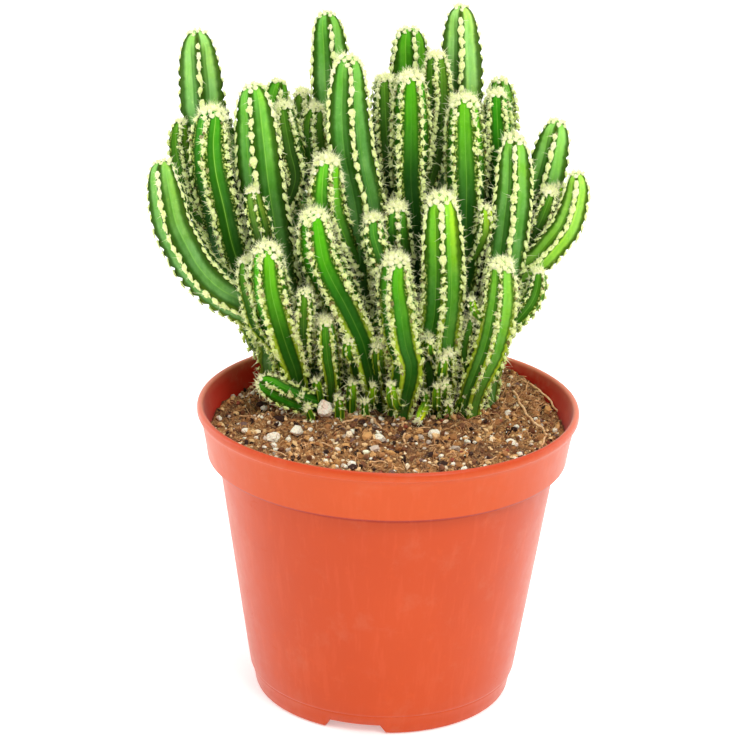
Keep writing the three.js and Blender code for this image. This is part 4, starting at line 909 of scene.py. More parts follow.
def bristles(geo, rng, origin, n, count, length, width, spread, curve_up=0.0, low=.0, tone=0.0, mat=2, core=1.0, lime=0.0):
    """Thin cones that fan out from each origin round the direction n."""
    N = len(origin)
    if not N:
        return
    O = np.repeat(origin, count, 0)
    D = np.repeat(n, count, 0)
    u, w = frames_for(D, rng)
    # evenly fanned round the tuft, then shaken
    a = (np.tile(np.arange(count), N) * 2 * np.pi / count + rng.uniform(-1.0, 1.0, len(O)) * np.pi / count)[:, None]
    s = (low + (spread - low) * np.sqrt(rng.uniform(0, 1, len(O))))[:, None]
    d = unit(D * np.cos(s) + (u * np.cos(a) + w * np.sin(a)) * np.sin(s) + np.array([0, 0, curve_up]))
    ln = rng.uniform(0, 1, len(O)) * (np.repeat(np.broadcast_to(length[1], (N,)), count) - np.repeat(np.broadcast_to(length[0], (N,)), count)) \
        + np.repeat(np.broadcast_to(length[0], (N,)), count)
    u2, w2 = frames_for(d, rng)
    wd = np.repeat(np.broadcast_to(width, (N,)), count) * rng.uniform(.8, 1.25, len(O))
    patch = np.array([(.76, .02), (.80, .02), (.84, .02), (.80, .10)]) + (np.array([.12, 0]) if mat == 1 else 0)
    uv = np.broadcast_to(patch[None], (len(O), 4, 2)).copy()
    shade = np.array([0, 0, 0, 1.0]) * core
    tn = np.repeat(np.broadcast_to(tone, (N,)), count)
    add_many(geo, CONE_V, CONE_F, O, u2, w2, d, wd, wd, ln, 0, mat, False, rng, uv=uv,
             core=np.broadcast_to(shade, (len(O), 4)), tone=tn, lime=np.repeat(np.broadcast_to(lime, (N,)), count))


def build_body(geo, st, rng, uspan=(.01, .71), cells=((.74, .14), (.99, .99)), coarse=1.0):
    """Skin, areoles, spines and crown of one stem, added to a piece."""
    R, L = st.R, st.L
    # sections: close together at the tip, then about a third of the areole spacing
    cut = 0.0
    if st.rooted:
        under = np.nonzero(st.line.P[:, 2] < 79.5)[0]
        cut = L - st.line.ts[under[0]] if len(under) else 0.0
    end = L - cut
    dome_t = np.array([.015, .05, .10, .17, .26, .38, .55, .75] if R > 3.4 else [.03, .12, .28, .55]) * R
    dome_t = dome_t[dome_t < .5 * end]
    step = min(1.15, st.p1 * .36) * coarse
    fine_end = min(end, dome_t[-1] + 54.0)
    n = int(math.ceil((fine_end - dome_t[-1]) / step))
    ts = np.concatenate([dome_t, dome_t[-1] + (fine_end - dome_t[-1]) * np.arange(1, n + 1) / n])
    if end - fine_end > .5:
        n = int(math.ceil((end - fine_end) / (step * 1.9)))
        ts = np.concatenate([ts, fine_end + (end - fine_end) * np.arange(1, n + 1) / n])
    angles = ANGLES if R > 5.2 else ANGLES_MID if R > 3.2 else ANGLES_SMALL
    a = np.tile(angles, RIBS)
    T, AA = np.meshgrid(ts, a, indexing="ij")
    KK = np.broadcast_to(np.repeat(np.arange(RIBS), len(angles)), T.shape)
    pts, d, up = st.surface(T.ravel(), KK.ravel(), AA.ravel())
    t = T.ravel()
    # slow unevenness of a grown stem
    ph = rng.uniform(0, 6.28, 4)
    wave = .014 * np.sin(t / (2.2 * R) * 2 + ph[0]) + .012 * np.sin(t / (1.1 * R) * 2 + KK.ravel() * 1.3 + ph[1])
    pts = pts + d * (R * wave * smoothstep(0, 2 * R, t))[:, None]
    rows, cols = T.shape
    nearest = np.minimum(AA.ravel(), 72 - AA.ravel())
    rib = 1 - nearest / 36.0
    kk = np.where(AA.ravel() > 36, (KK.ravel() + 1) % RIBS, KK.ravel())
    swell = st.swell(t, kk)
    crest = np.exp(-(nearest / 6.0) ** 2) * (1 - swell) ** .6
    tooth = np.exp(-(nearest / 8.0) ** 2) * swell ** 1.5
    strip = smoothstep(134, 110, pts[:, 2]) * (1.0 if st.name.startswith(('stem_front', 'shoot_front', 'stem_inner')) else .8 if st.name.startswith('pup') else 0 if st.name.startswith('shoot_base') else .3)
    zz = pts[:, 2]
    G = pts.reshape(rows, cols, 3)
    normal = unit(np.cross(np.roll(G, -1, 1) - np.roll(G, 1, 1), np.gradient(G, axis=0)).reshape(-1, 3))
    normal = normal * np.where((normal * d).sum(1) < 0, -1, 1)[:, None]
    # painted shade: the flanks that face the middle of the clump are painted dark
    facing = normal[:, 0] * (1.0 if st.line.P[0, 0] < -25 else -1.0)
    if st.name == 'stem_back_left_tall':
        facing = np.abs(facing)
    shade = smoothstep(.24, .85, facing) * smoothstep(.0, .14, rib) * smoothstep(0, .8 * R, t)
    bare = np.where(kk == 0, 1.0, BARE.get(st.name, 1.0))
    felt = smoothstep(.75, 1.1, t / max(st.chain * end, .5 * R)) * smoothstep(.6, .9, bare) * (.45 + .55 * smoothstep(92, 116, zz)) * (1 - .75 * strip)
    share = np.clip(t / max(end, 1), 0, 1)
    mixer = smoothstep(1.0, min(36.0, .62 * end), t)
    warm = np.array([1.05, 1.12, .16 + .58 * st.bloom])
    top, bottom = lin(st.top) * 1.0 * warm, lin(st.bottom) * (.84 + .10 * st.bloom) * warm
    fresh = lin(np.clip(np.array(st.top) * 1.06 + (10, 6, 0), 0, 255)) * 1.0 * warm
    tint = top[None] * (1 - mixer[:, None]) + bottom[None] * mixer[:, None]
    # painted shade: the skin is painted darker further down the stem
    tint = tint * (1 - .22 * smoothstep(34, 70, t) * (1 - st.bloom))[:, None]
    young = 1 - smoothstep(.2 * R, 2.6 * R, t)
    tint = tint * (1 - .35 * young[:, None]) + fresh[None] * (.35 * young[:, None])
    # each flank has its own share of light green at random, and the flanks that face right and up are painted lighter:
    # painted light
    side = rng.uniform(-.5, .5, 2 * RIBS)
    own = (side[(2 * KK.ravel() + (AA.ravel() > 36)) % (2 * RIBS)] * .8 + .55 * d[:, 0] + .2 * d[:, 2]) * smoothstep(0, .25, np.minimum(rib, 1 - rib))
    crowd = crowding(pts, st)
    # painted shade: darker where other stems crowd round, and more so low down among them
    dark = np.clip((crowd - .9) * .235, 0, .43) * smoothstep(0, 3 * R, t)
    dark += .165 * smoothstep(112, 92, zz) * smoothstep(.3, 1.1, crowd)
    low = smoothstep(108, 90, zz) * .5 if st.rooted else np.zeros(len(zz))
    idx = np.arange(rows * cols).reshape(rows, cols)
    nx = np.roll(idx, -1, 1)
    quads = np.stack([idx[:-1], idx[1:], nx[1:], nx[:-1]], -1).reshape(-1, 4)
    tip, u0, _, _ = st.line.at(np.array([0.0]))
    tip = tip[0] + u0[0] * .05
    last, u1, _, _ = st.line.at(np.array([end]))
    v = np.vstack([pts, tip[None], last])
    nv = rows * cols
    tris = np.vstack([np.stack([np.full(cols, nv), idx[0], nx[0]], -1),
                      np.stack([np.full(cols, nv + 1), nx[-1], idx[-1]], -1)])
    ext = lambda x, p, q: np.concatenate([x, [p, q]])
    uu = np.broadcast_to(np.arange(cols) / cols, T.shape).ravel()
    vv = (T / end).ravel()
    wide = uspan[1] - uspan[0]
    uv = np.stack([uspan[0] + wide * ext(uu, .5, .5), .01 + .98 * (1 - ext(vv, 0, 1))], 1)
    geo.add(v, tris=tris, quads=quads, mat=0, smooth=True, uv=uv,
            tint=np.vstack([tint, fresh, bottom]), rib=ext(rib, .6, .5), bloom=ext(np.full(nv, st.bloom), 0, 0), own=ext(own, 0, 0),
            crest=ext(crest, 0, 0), tooth=ext(tooth, 0, 0), strip=ext(strip, 0, 0), felt=ext(felt, .6, 0), shade=ext(shade, 0, 0), vein=ext(np.full(nv, st.vein), 0, 0), low=ext(low, 0, 0), dark=ext(np.clip(dark, 0, .8), 0, .5))
    # quads that close the ring take their last column's place just past the first one's
    uvq = geo.uv4[-1].reshape(-1, 4, 2)
    wrap = np.nonzero(quads[:, 3] % cols < quads[:, 0] % cols)[0]
    uvq[wrap, 2, 0] += wide
    uvq[wrap, 3, 0] += wide
    geo.uv4[-1] = uvq.reshape(-1, 2)

    # areoles: one per whole count of each rib
    O, N_, S_, TT, KA = [], [], [], [], []
    for k in range(RIBS):
        last_no = st.number(np.array([end - 1.0]))[0]
        first = math.ceil(st.number(np.array([.28 * R]))[0] + st.offset(k))
        numbers = np.arange(first, int(last_no + st.offset(k)) + 1) - st.offset(k) - (.20 if st.chain else .12)
        if not len(numbers):
            continue
        numbers = numbers + rng.uniform(-.12, .12, len(numbers)) * (.5 if st.chain else 1)
        tk = np.interp(numbers, st.count, st.line.ts)
        p, dd, uu_ = st.surface(tk, np.full(len(tk), k), rng.uniform(-2.6, 2.6, len(tk)))
        O.append(p); N_.append(unit(dd + .30 * uu_)); S_.append(uu_); TT.append(tk); KA.append(np.full(len(tk), 1.0 if k == 0 else BARE.get(st.name, 1.0)))
    O, Nn, Up, Ta, KA = map(np.concatenate, (O, N_, S_, TT, KA))
    keep = ~inside_others(O + Nn * .6, st) & (O[:, 2] > (88.0 if st.rooted else 86.0))
    # not inside the pot's wall
    rho = np.hypot(O[:, 0], O[:, 1])
    keep &= ~((rho > 54.5) & (rho < 61) & (O[:, 2] < 96.5) & (O[:, 2] > 76))
    O, Nn, Up, Ta, KA = O[keep], Nn[keep], Up[keep], Ta[keep], KA[keep]
    small = min(1.0, (R / 6.0) ** .4)
    seen = openness(O, Nn)
    # low down the wool has worn thin, and some cushions are gone
    thin = smoothstep(94, 118, O[:, 2]) if st.name != 'shoot_base_left_lying' else np.ones(len(O))
    keep = (seen > 0) & (rng.uniform(0, 1, len(O)) < .80 + .20 * thin)
    O, Nn, Up, Ta, KA, seen, thin = O[keep], Nn[keep], Up[keep], Ta[keep], KA[keep], seen[keep], thin[keep]
    M = len(O)
    if M:
        grown = smoothstep(0, 1.2 * R, Ta)
        size = (st.w0 + (st.w1 - st.w0) * smoothstep(.2 * end, .7 * end, Ta)) * rng.uniform(.80, 1.20, M) * (.76 + .24 * thin) * KA
        half = 1.05 * size * small * (.74 + .26 * grown)
        u = unit(np.cross(Up, Nn))
        w = np.cross(Nn, u)
        chain = (Ta < st.chain * end * rng.uniform(.8, 1.2, M)) & (thin > .5)
        turn = rng.uniform(-.5, .5, M) * np.where(chain, .3, 1)
        a_ = turn[:, None]
        u, w = u * np.cos(a_) + w * np.sin(a_), w * np.cos(a_) - u * np.sin(a_)
        ring = (rng.uniform(0, 1, M) < .35) & ~chain
        core = (ring * .85)[:, None] * np.exp(-((PUFF_V[:, :2] ** 2).sum(1) / .35))[None] * (PUFF_V[:, 2] > 0)[None]
        tone = np.where(Ta < 1.3 * R, .7, .12) * rng.uniform(.2, 1, M)
        lime = (.10 + .90 * smoothstep(128, 98, O[:, 2])) * rng.uniform(.2, 1, M)
        lone = chain[:, None]
        # one cushion at each areole: a long low one in a chain, a small round one in a cluster
        wide_ = half * np.where(chain, rng.uniform(.80, 1.02, M), rng.uniform(.58, .84, M))
        tall = np.where(chain, rng.uniform(1.35, 1.75, M) * (.72 + .28 * grown) * np.sqrt(KA), half * rng.uniform(.70, 1.05, M))
        high = half * np.where(chain, rng.uniform(.40, .54, M), rng.uniform(.44, .66, M))
        add_many(geo, PUFF_V, PUFF_F, O + Nn * np.where(lone, .05, .12), u, w, Nn, wide_, tall, high,
                 .25, 1, True, rng, uv=cell_uv(M, PUFF_V, *cells), core=core, tone=tone, lime=lime)
        # a thread of felt joins one long cushion to the next
        link = chain & (KA > .7)
        m = int(link.sum())
        if m:
            q = half[link] * rng.uniform(.34, .5, m)
            add_many(geo, LUMP_V, LUMP_F, O[link] - w[link] * (tall[link] * rng.uniform(.95, 1.15, m))[:, None] - Nn[link] * .12, u[link], w[link], Nn[link],
                     q, rng.uniform(.6, 1.0, m), q * .8, .22, 1, True, rng, uv=cell_uv(m, LUMP_V, *cells), core=np.zeros((m, len(LUMP_V))), tone=tone[link], lime=lime[link])
        # smaller lumps scattered round it, some of them dull and dark
        for step_, chance in ((0, .92), (1, .80), (2, .62)):
            pick = (rng.uniform(0, 1, M) < np.where(chain, .16, chance)) & (seen > .10)
            m = int(pick.sum())
            if not m:
                continue
            way = rng.uniform(0, 2 * np.pi, m)[:, None] if step_ == 2 else (math.pi * step_ + rng.uniform(-1.1, 1.1, m) + 1.57)[:, None]
            far_ = (half[pick] * rng.uniform(.78, 1.25, m))[:, None]
            at = O[pick] + (u[pick] * np.cos(way) * .74 + w[pick] * np.sin(way) * 1.15) * far_ + Nn[pick] * rng.uniform(-.15, .1, m)[:, None]
            q = half[pick] * rng.uniform(.36, .60, m)
            dull = (rng.uniform(0, 1, m) < .26) * rng.uniform(.5, 1.0, m)
            add_many(geo, LUMP_V, LUMP_F, at, u[pick], w[pick], Nn[pick], q, q * rng.uniform(.9, 1.4, m), q * rng.uniform(.7, 1.0, m), .24, 1, True, rng,
                     uv=cell_uv(m, LUMP_V, *cells), core=np.repeat(dull[:, None], len(LUMP_V), 1), tone=tone[pick] * rng.uniform(0, 1.4, m), lime=lime[pick])
        # locks of wool that break up the cushion's outline, then bristles and a few longer spines;
        # less of them on the areoles that hardly show
        near = seen > .10
        for group, locks in ((near & ~chain, 6), (near & chain, 5), (~near, 3)):
            h, o, nn, sz, tn, lm = half[group], O[group], Nn[group], size[group], tone[group], lime[group]
            long_ = .80 if locks == 5 else 1.0
            bristles(geo, rng, o + nn * (.18 * h)[:, None], nn, locks, (.85 * h * long_, 1.75 * h * long_), .20 * h, 1.5, low=.8, tone=tn, mat=1, core=0, lime=lm)
            if locks > 3:
                bristles(geo, rng, o + nn * (.25 * h)[:, None], nn, 6, (1.1 * sz * small * long_, 2.4 * sz * small * long_), .10, 1.4, low=.3, tone=.2)
        some = (rng.uniform(0, 1, M) < .6) & near
        bristles(geo, rng, (O + Nn * .3)[some], Nn[some], 2, (2.0 * small, 3.6 * small), .09, 1.25, low=.2, tone=.3)
        rare = (rng.uniform(0, 1, M) < .14) & near
        bristles(geo, rng, (O + Nn * .3)[rare], Nn[rare], 1, (3.6 * small, 5.8 * small), .08, 1.1, low=.1, tone=.4)

    # crown: wool heaped over the growing point, with fine hairs standing up from it
    c = st.crown
    m = int(7 + 15 * c) if R > 3.4 else int(4 + 5 * c)
    rr = (.06 + .56 * np.sqrt((np.arange(m) + .5) / m)) * (.60 + .42 * c)
    th = 2.39996 * np.arange(m) + rng.uniform(0, 6)
    tcrown = np.interp(rr, [0, .16, .34, .52, .68, .8], np.array([0, .0, .08, .25, .55, 1.0]) * R)
    P, U, F, S = st.line.at(tcrown)
    dirn = F * np.cos(th)[:, None] + S * np.sin(th)[:, None]
    Oc = P + dirn * (rr * R * .96)[:, None]
    Nc = unit(U * (1.1 - .5 * rr)[:, None] + dirn * (rr * 1.1)[:, None])
    uc, wc = frames_for(Nc, rng)
    hs = (.66 + .34 * c) * rng.uniform(.75, 1.2, m) * small
    lo, hi = cells
    add_many(geo, PUFF_V, PUFF_F, Oc + Nc * .1, uc, wc, Nc, hs, hs, hs * rng.uniform(.6, 1.0, m), .26, 1, True, rng,
             uv=cell_uv(m, PUFF_V, (lo[0], lo[1] - .03), (hi[0], lo[1])), core=np.zeros((m, len(PUFF_V))), tone=rng.uniform(.3, 1, m))
    bristles(geo, rng, Oc + Nc * .2, Nc, 7, (.9 * small, (1.3 + .6 * c) * small), .20 * small, 1.45, curve_up=.15, low=.3, tone=.9, mat=1, core=0)
    bristles(geo, rng, Oc + Nc * .3, Nc, int(5 + 6 * c), (1.3 * small, (2.2 + 1.1 * c) * small), .085, 1.2, curve_up=.15, tone=.5)
    bristles(geo, rng, Oc[::2] + Nc[::2] * .3, Nc[::2], 1, (2.8 * small, 4.6 * small), .08, .9, curve_up=.2, tone=.5)
    return M


def build_stem(st):
    rng = np.random.default_rng(hash_name(st.name))
    geo = Geo()
    M = build_body(geo, st, rng)
    ob = geo.piece("skin_" + st.name, [MAT_SKIN, MAT_WOOL, MAT_SPINE], uv=True)
    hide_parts(st.name)
    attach(ob, "root")
    stats[st.name] = (geo.triangles(), M)
    return ob


def seat_pups():
    """Small offsets that crowd the lower stems, each on a short line out of its parent's flank."""
    rng = np.random.default_rng(808)
    found = []
    parents = [st for st in STEM.values() if st.rooted and st.R > 4.5]
    tries = 0
    while len(found) < PUPS and tries < 6000:
        tries += 1
        st = parents[rng.integers(len(parents))]
        z = 90 + 34 * rng.uniform(0, 1) ** 1.6
        i = int(np.argmin(np.abs(st.line.P[:, 2] - z)))
        P, U = st.line.P[i], st.line.U[i]
        az = rng.uniform(0, 2 * np.pi)
        out = np.array([math.cos(az), math.sin(az), 0])
        out = unit(out - out.dot(U) * U)
        r_here = float(st.radius(np.array([st.line.ts[i]]))[0])
        R = rng.uniform(2.0, 3.1)
        ln = rng.uniform(7, 15) * (1 if z < 108 else .8)
        base = P + out * r_here * .35 - U * 1.0
        knee = P + out * (r_here * .85 + ln * .22) + U * ln * .18
        tip = P + out * (r_here * .95 + ln * .38) + np.array([0, 0, 1]) * ln * .74
        if tip[2] < 93 or np.hypot(tip[0], tip[1] - 18) > 37 or np.hypot(tip[0], tip[1]) > 48 or np.hypot(knee[0], knee[1]) > 47 or abs(tip[0]) > 34:
            continue
        probe = np.vstack([tip, .5 * (tip + knee)])
        clear = 99.0
        for other in STEM.values():
            t = other.line.ts[::3]
            d = np.linalg.norm(probe[:, None] - other.line.P[::3][None], axis=2) - other.radius(t)[None] * .82
            clear = min(clear, (d[0].min() - .35 * R) if other is not st else 99, d[1].min() + R * .7 if other is not st else 99)
        if clear < 0:
            continue
        if any(np.linalg.norm(tip - q[2][0]) < 5.2 for q in found):
            continue
        found.append((R, rng.uniform(0, 72), (tip, .45 * tip + .55 * knee + out * .6, knee, base)))
    return found


def hash_name(name):
    h = 7
    for ch in name:
        h = (h * 131 + ord(ch)) % 1000003
    return h


def inner_radius(z):
    return np.interp(z, [4.6, 8.6, 80.1, 80.8, 95.5], [40.9, 41.5, 51.8, 55.2, 58.0])


def soil_height(x, y):
    x, y = np.asarray(x, float), np.asarray(y, float)
    return (85.8 + 2.6 * np.exp(-((x + 6) / 36) ** 2 - ((y - 22) / 26) ** 2)
            + 5.2 * np.exp(-((x - 37) / 12) ** 2 - ((y - 37) / 12) ** 2)
            + 2.6 * np.exp(-((np.arctan2(y, x) - .62) / .34) ** 2) * smoothstep(36, 52, np.hypot(x, y))
            + .55 * np.sin(.31 * x + 1.3) * np.cos(.27 * y - .6) + .35 * np.sin(.13 * x - .21 * y))


for stem in STEM.values():
    build_stem(stem)

pups = seat_pups()
# short offsets that push out of the soil along the front of the clump
for px, py, R, ln, lean, az in ((-27.0, 8.0, 2.7, 9, .25, 250), (-24.2, 4.6, 2.3, 6, .35, 235), (-15.4, 5.4, 2.7, 9, .2, 260), (-11.6, 9.6, 2.9, 12, .15, 275),
                                (-7.0, 6.6, 2.5, 8, .25, 265), (-21.6, 10.8, 2.6, 13, .2, 245), (18.6, 7.6, 2.6, 8, .3, 285), (22.4, 12.6, 2.7, 10, .3, 300)):
    a = math.radians(az)
    foot = np.array([px, py, float(soil_height(px, py)) - 1.2])
    out = np.array([math.cos(a), math.sin(a), 0]) * lean
    pups.append((R, (az * 7) % 72, (foot + unit(out + (0, 0, 1.0)) * ln + out * ln * .25, foot + unit(out * .8 + (0, 0, 1.0)) * ln * .55, foot + np.array([0, 0, ln * .12]), foot - np.array([0, 0, 2.0]))))
# two offsets deep in the clump, seen only as glimpses between the outer stems
pups.append((3.0, 20, tuple(np.array(q, float) for q in ((-63.0, 29.5, 148.0), (-60.5, 29.5, 142.0), (-57.0, 29.0, 136.5), (-50.5, 27.5, 131.0)))))
pups.append((3.1, 50, tuple(np.array(q, float) for q in ((52.4, 24.0, 160.5), (51.3, 24.0, 154.0), (48.8, 24.5, 147.0), (44.0, 25.0, 139.0)))))
for name, want in (("pups_front_left", lambda p: p[0] < 0 and p[1] < 22), ("pups_front_right", lambda p: p[0] >= 0 and p[1] < 22),
                   ("pups_back_left", lambda p: p[0] < 0 and p[1] >= 22), ("pups_back_right", lambda p: p[0] >= 0 and p[1] >= 22)):
    mine = [q for q in pups if want(q[2][0])]
    geo = Geo()
    for i, (R, phase, pts) in enumerate(mine):
        rng = np.random.default_rng(hash_name(name) + i)
        g1 = rng.uniform(0, 1)
        look = ((60 + 80 * g1, 126 + 66 * g1, 30 + 14 * g1), (36 + 30 * g1, 88 + 40 * g1, 26 + 8 * g1), .05, 2.6, 2.5, .72, .72, .45)
        st = Stem("%s_%d" % (name, i), R, phase, 0, False, None, pts, look)
        k = len(mine)
        build_body(geo, st, rng, uspan=(.01 + .7 * i / k, .01 + .7 * (i + .92) / k), cells=((.74, .17 + .82 * i / k), (.99, .17 + .82 * (i + .8) / k)), coarse=1.7)
    if mine:
        ob = geo.piece(name, [MAT_SKIN, MAT_WOOL, MAT_SPINE], uv=True)
        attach(ob, "root")
        stats[name] = (geo.triangles(), len(mine))


# ---- pot -----------------------------------------------------------------------------------
def build_pot():
    geo = Geo()
    # outline from the middle of the underside, out, up the outside, over the lip, down inside
    pts = [(0, 0), (4.0, 0), (9.0, 0), (12.4, 0), (12.85, .08), (13.1, .35), (13.8, 2.4), (14.2, 2.85), (15.0, 3.0), (18.0, 3.0),
           (22.0, 3.0), (28.0, 3.0), (33.5, 3.0), (36.6, 3.0), (37.6, 2.7), (38.2, 1.6), (38.5, .5), (39.0, .05), (39.6, 0.0), (40.3, .05), (40.9, .35), (41.15, .9),
           (41.6, 3.4), (42.25, 5.8), (42.42, 6.25), (42.42, 6.6), (42.72, 6.95), (42.95, 7.6), (43.9, 14.0), (45.4, 24.0), (46.85, 34.0), (48.3, 44.0), (49.75, 54.0),
           (51.2, 64.0), (52.35, 72.0), (53.15, 77.6), (53.3, 78.4), (53.55, 78.75), (54.6, 78.82), (55.9, 78.86), (56.45, 79.0), (56.72, 79.35), (56.8, 79.9), (57.1, 82.2), (57.55, 85.0),
           (58.1, 88.0), (58.65, 91.0), (58.95, 92.3), (59.25, 92.72), (59.75, 92.9), (60.0, 93.3), (60.05, 93.9), (60.0, 94.6), (59.75, 95.15), (59.35, 95.45), (58.95, 95.52), (58.5, 95.4),
           (58.12, 95.05), (57.98, 94.4), (57.55, 92.0), (57.0, 89.0), (56.4, 86.0), (55.8, 83.2), (55.4, 81.4), (55.1, 80.9), (54.2, 80.7), (52.6, 80.5), (51.95, 80.2), (51.75, 79.6),
           (50.9, 74.0), (49.2, 62.0), (47.5, 50.0), (45.8, 38.0), (44.1, 26.0), (42.6, 15.5), (41.7, 9.0), (41.3, 6.6), (40.7, 5.4), (39.6, 4.8), (38.0, 4.6), (33.5, 4.6), (28.0, 4.6), (22.0, 4.6), (12.0, 4.6), (0, 4.6)]
    pts = np.array(pts, float)
    seg = 144
    ang = 2 * np.pi * np.arange(seg) / seg
    rows = pts[1:-1]
    n = len(rows)
    r = np.repeat(rows[:, 0], seg).reshape(n, seg).copy()
    z = np.repeat(rows[:, 1], seg).reshape(n, seg).copy()
    # moulded plastic isn't dead true: a trace of ovality and a soft wave in the lip
    r = r * (1 + .0012 * np.cos(2 * ang + .6) * (z / 95) + .0005 * np.cos(5 * ang))
    z = z + np.where(z > 60, .10 * np.sin(3 * ang + 1.0) * ((z - 60) / 35), 0)
    # drainage notches lift the foot ring
    for i in range(3):
        c = math.radians(-101 + 120 * i)
        off = np.abs((ang - c + np.pi) % (2 * np.pi) - np.pi) * 40.0
        lift = 3.0 * (1 - smoothstep(8.0, 9.9, off))
        foot = (rows[:, 0] > 36.9) & (rows[:, 0] < 42.3) & (rows[:, 1] < 3.0) & (np.arange(n) < 30)
        z[foot] = np.maximum(z[foot], np.minimum(lift[None], 2.98) * np.ones((foot.sum(), 1)))
    x, y = r * np.cos(ang), r * np.sin(ang)
    V = np.stack([x, y, z], -1).reshape(-1, 3)
    idx = np.arange(n * seg).reshape(n, seg)
    nx = np.roll(idx, -1, 1)
    quads = np.stack([idx[:-1], nx[:-1], nx[1:], idx[1:]], -1).reshape(-1, 4)
    V = np.vstack([V, (0, 0, 0), (0, 0, 4.6)])
    a, b = n * seg, n * seg + 1
    tris = np.vstack([np.stack([np.full(seg, a), nx[0], idx[0]], -1), np.stack([np.full(seg, b), idx[-1], nx[-1]], -1)])
    order = np.arange(n)
    top = int(np.argmax(rows[:, 1]))
    inner = smoothstep(top + .5, top + 2.6, order)
    lip = np.exp(-((rows[:, 1] - 95.4) / 1.0) ** 2) * (rows[:, 0] > 57)
    geo.add(V, tris=tris, quads=quads, smooth=True, inner=np.append(np.repeat(inner, seg), [0, 1]), lip=np.append(np.repeat(lip, seg), [0, 0]))
    ob = geo.piece("pot_shell", [MAT_POT])
    # drain holes through the floor
    cutter = bpy.data.meshes.new("drain_cut")
    cv, cf = [], []
    for i in range(6):
        t = math.radians(15 + 60 * i)
        cx, cy, s = 28 * math.cos(t), 28 * math.sin(t), len(cv)
        for zz in (-2, 8):
            for j in range(24):
                q = 2 * math.pi * j / 24
                cv.append(((cx + 3.6 * math.cos(q)) * MM, (cy + 3.6 * math.sin(q)) * MM, zz * MM))
        cf += [(s + j, s + (j + 1) % 24, s + 24 + (j + 1) % 24, s + 24 + j) for j in range(24)]
        cf += [tuple(s + j for j in reversed(range(24))), tuple(s + 24 + j for j in range(24))]
    cutter.from_pydata(cv, [], cf)
    cutter.update()
    co = bpy.data.objects.new("drain_cut", cutter)
    bpy.context.scene.collection.objects.link(co)
    mod = ob.modifiers.new("drain", "BOOLEAN")
    mod.operation, mod.solver, mod.object = "DIFFERENCE", "EXACT", co
    dg = bpy.context.evaluated_depsgraph_get()
    me = bpy.data.meshes.new_from_object(ob.evaluated_get(dg), depsgraph=dg)
    ob.modifiers.clear()
    old = ob.data
    ob.data = me
    bpy.data.meshes.remove(old)
    me.name = "pot_shell"
    bpy.data.objects.remove(co)
    bpy.data.meshes.remove(cutter)
    me.set_sharp_from_angle(angle=math.radians(38))
    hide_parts("pot")
    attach(ob, "root")
    return ob


build_pot()


# ---- soil ----------------------------------------------------------------------------------
class Bumps:
    """Smooth lumps made of many sine waves with fixed random directions."""

    def __init__(self, seed, low, high, count=28):
        rng = np.random.default_rng(seed)
        k = np.exp(rng.uniform(math.log(low), math.log(high), count))
        a = rng.uniform(0, 2 * np.pi, count)
        self.kx, self.ky, self.ph = k * np.cos(a) * 2 * np.pi, k * np.sin(a) * 2 * np.pi, rng.uniform(0, 6.28, count)
        self.w = k ** -.55
        self.w /= np.sqrt((self.w ** 2).sum() / 2)

    def __call__(self, x, y):
        x, y = np.asarray(x, float), np.asarray(y, float)
        out = np.zeros(x.shape)
        for kx, ky, ph, w in zip(self.kx, self.ky, self.ph, self.w):
            out += w * np.sin(kx * x + ky * y + ph)
        return out


lumps = Bumps(11, .05, .16)
clods = Bumps(12, .18, .55, 36)


def soil_top(x, y):
    h = soil_height(x, y)
    rho = np.hypot(x, y)
    fade = smoothstep(57, 52, rho)
    return h + .45 * lumps(x, y) * fade + .50 * clods(x, y) + .5 * smoothstep(50, 56, rho) * np.abs(lumps(x * 2, y * 2)) * .5


def build_soil():
    geo = Geo()
    rad_ = np.concatenate([np.linspace(0, 1, 64)[1:] ** .92])
    seg = 220
    ang = 2 * np.pi * np.arange(seg) / seg
    ca, sa = np.cos(ang), np.sin(ang)
    edge = inner_radius(86.4) - .12
    X = (rad_[:, None] * edge) * ca
    Y = (rad_[:, None] * edge) * sa
    rng = np.random.default_rng(5)
    X[:-1] += rng.uniform(-.3, .3, X[:-1].shape)
    Y[:-1] += rng.uniform(-.3, .3, Y[:-1].shape)
    Z = soil_top(X, Y)
    for _ in range(3):
        e = inner_radius(Z[-1]) - .15
        X[-1], Y[-1] = e * ca, e * sa
        Z[-1] = soil_top(X[-1], Y[-1])
    rings = [np.stack([X, Y, Z], -1)]
    # the sides run down the pot's wall, just clear of it, to a flat underside
    down = []
    for z in (84.5, 82.8, 81.6, 81.2, 80.2, 78.5, 60, 40, 20, 9, 5.2):
        rr = inner_radius(z) - .35
        if z in (81.6, 81.2):
            rr = min(rr, 54.6)
        if z in (80.2, 78.5):
            rr = min(rr, inner_radius(78.5) - .35)
        down.append(np.stack([rr * ca, rr * sa, np.full(seg, z)], -1))
    low_r = inner_radius(5.2) - .6
    down.append(np.stack([(low_r - 1.2) * ca, (low_r - 1.2) * sa, np.full(seg, 4.72)], -1))
    down.append(np.stack([20 * ca, 20 * sa, np.full(seg, 4.72)], -1))
    R_ = np.vstack([rings[0].reshape(-1, 3), np.vstack(down)])
    n = len(R_) // seg
    idx = np.arange(n * seg).reshape(n, seg)
    nx = np.roll(idx, -1, 1)
    quads = np.stack([idx[:-1], idx[1:], nx[1:], nx[:-1]], -1).reshape(-1, 4)
    V = np.vstack([R_, (0, 0, float(soil_top(0.0, 0.0))), (0, 0, 4.72)])
    a, b = n * seg, n * seg + 1
    tris = np.vstack([np.stack([np.full(seg, a), idx[0], nx[0]], -1), np.stack([np.full(seg, b), nx[-1], idx[-1]], -1)])
    geo.add(V, tris=tris, quads=quads, smooth=True)
    ob = geo.piece("soil_bed", [MAT_SOIL])
    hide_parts("soil")
    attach(ob, "root")
    return ob


build_soil()

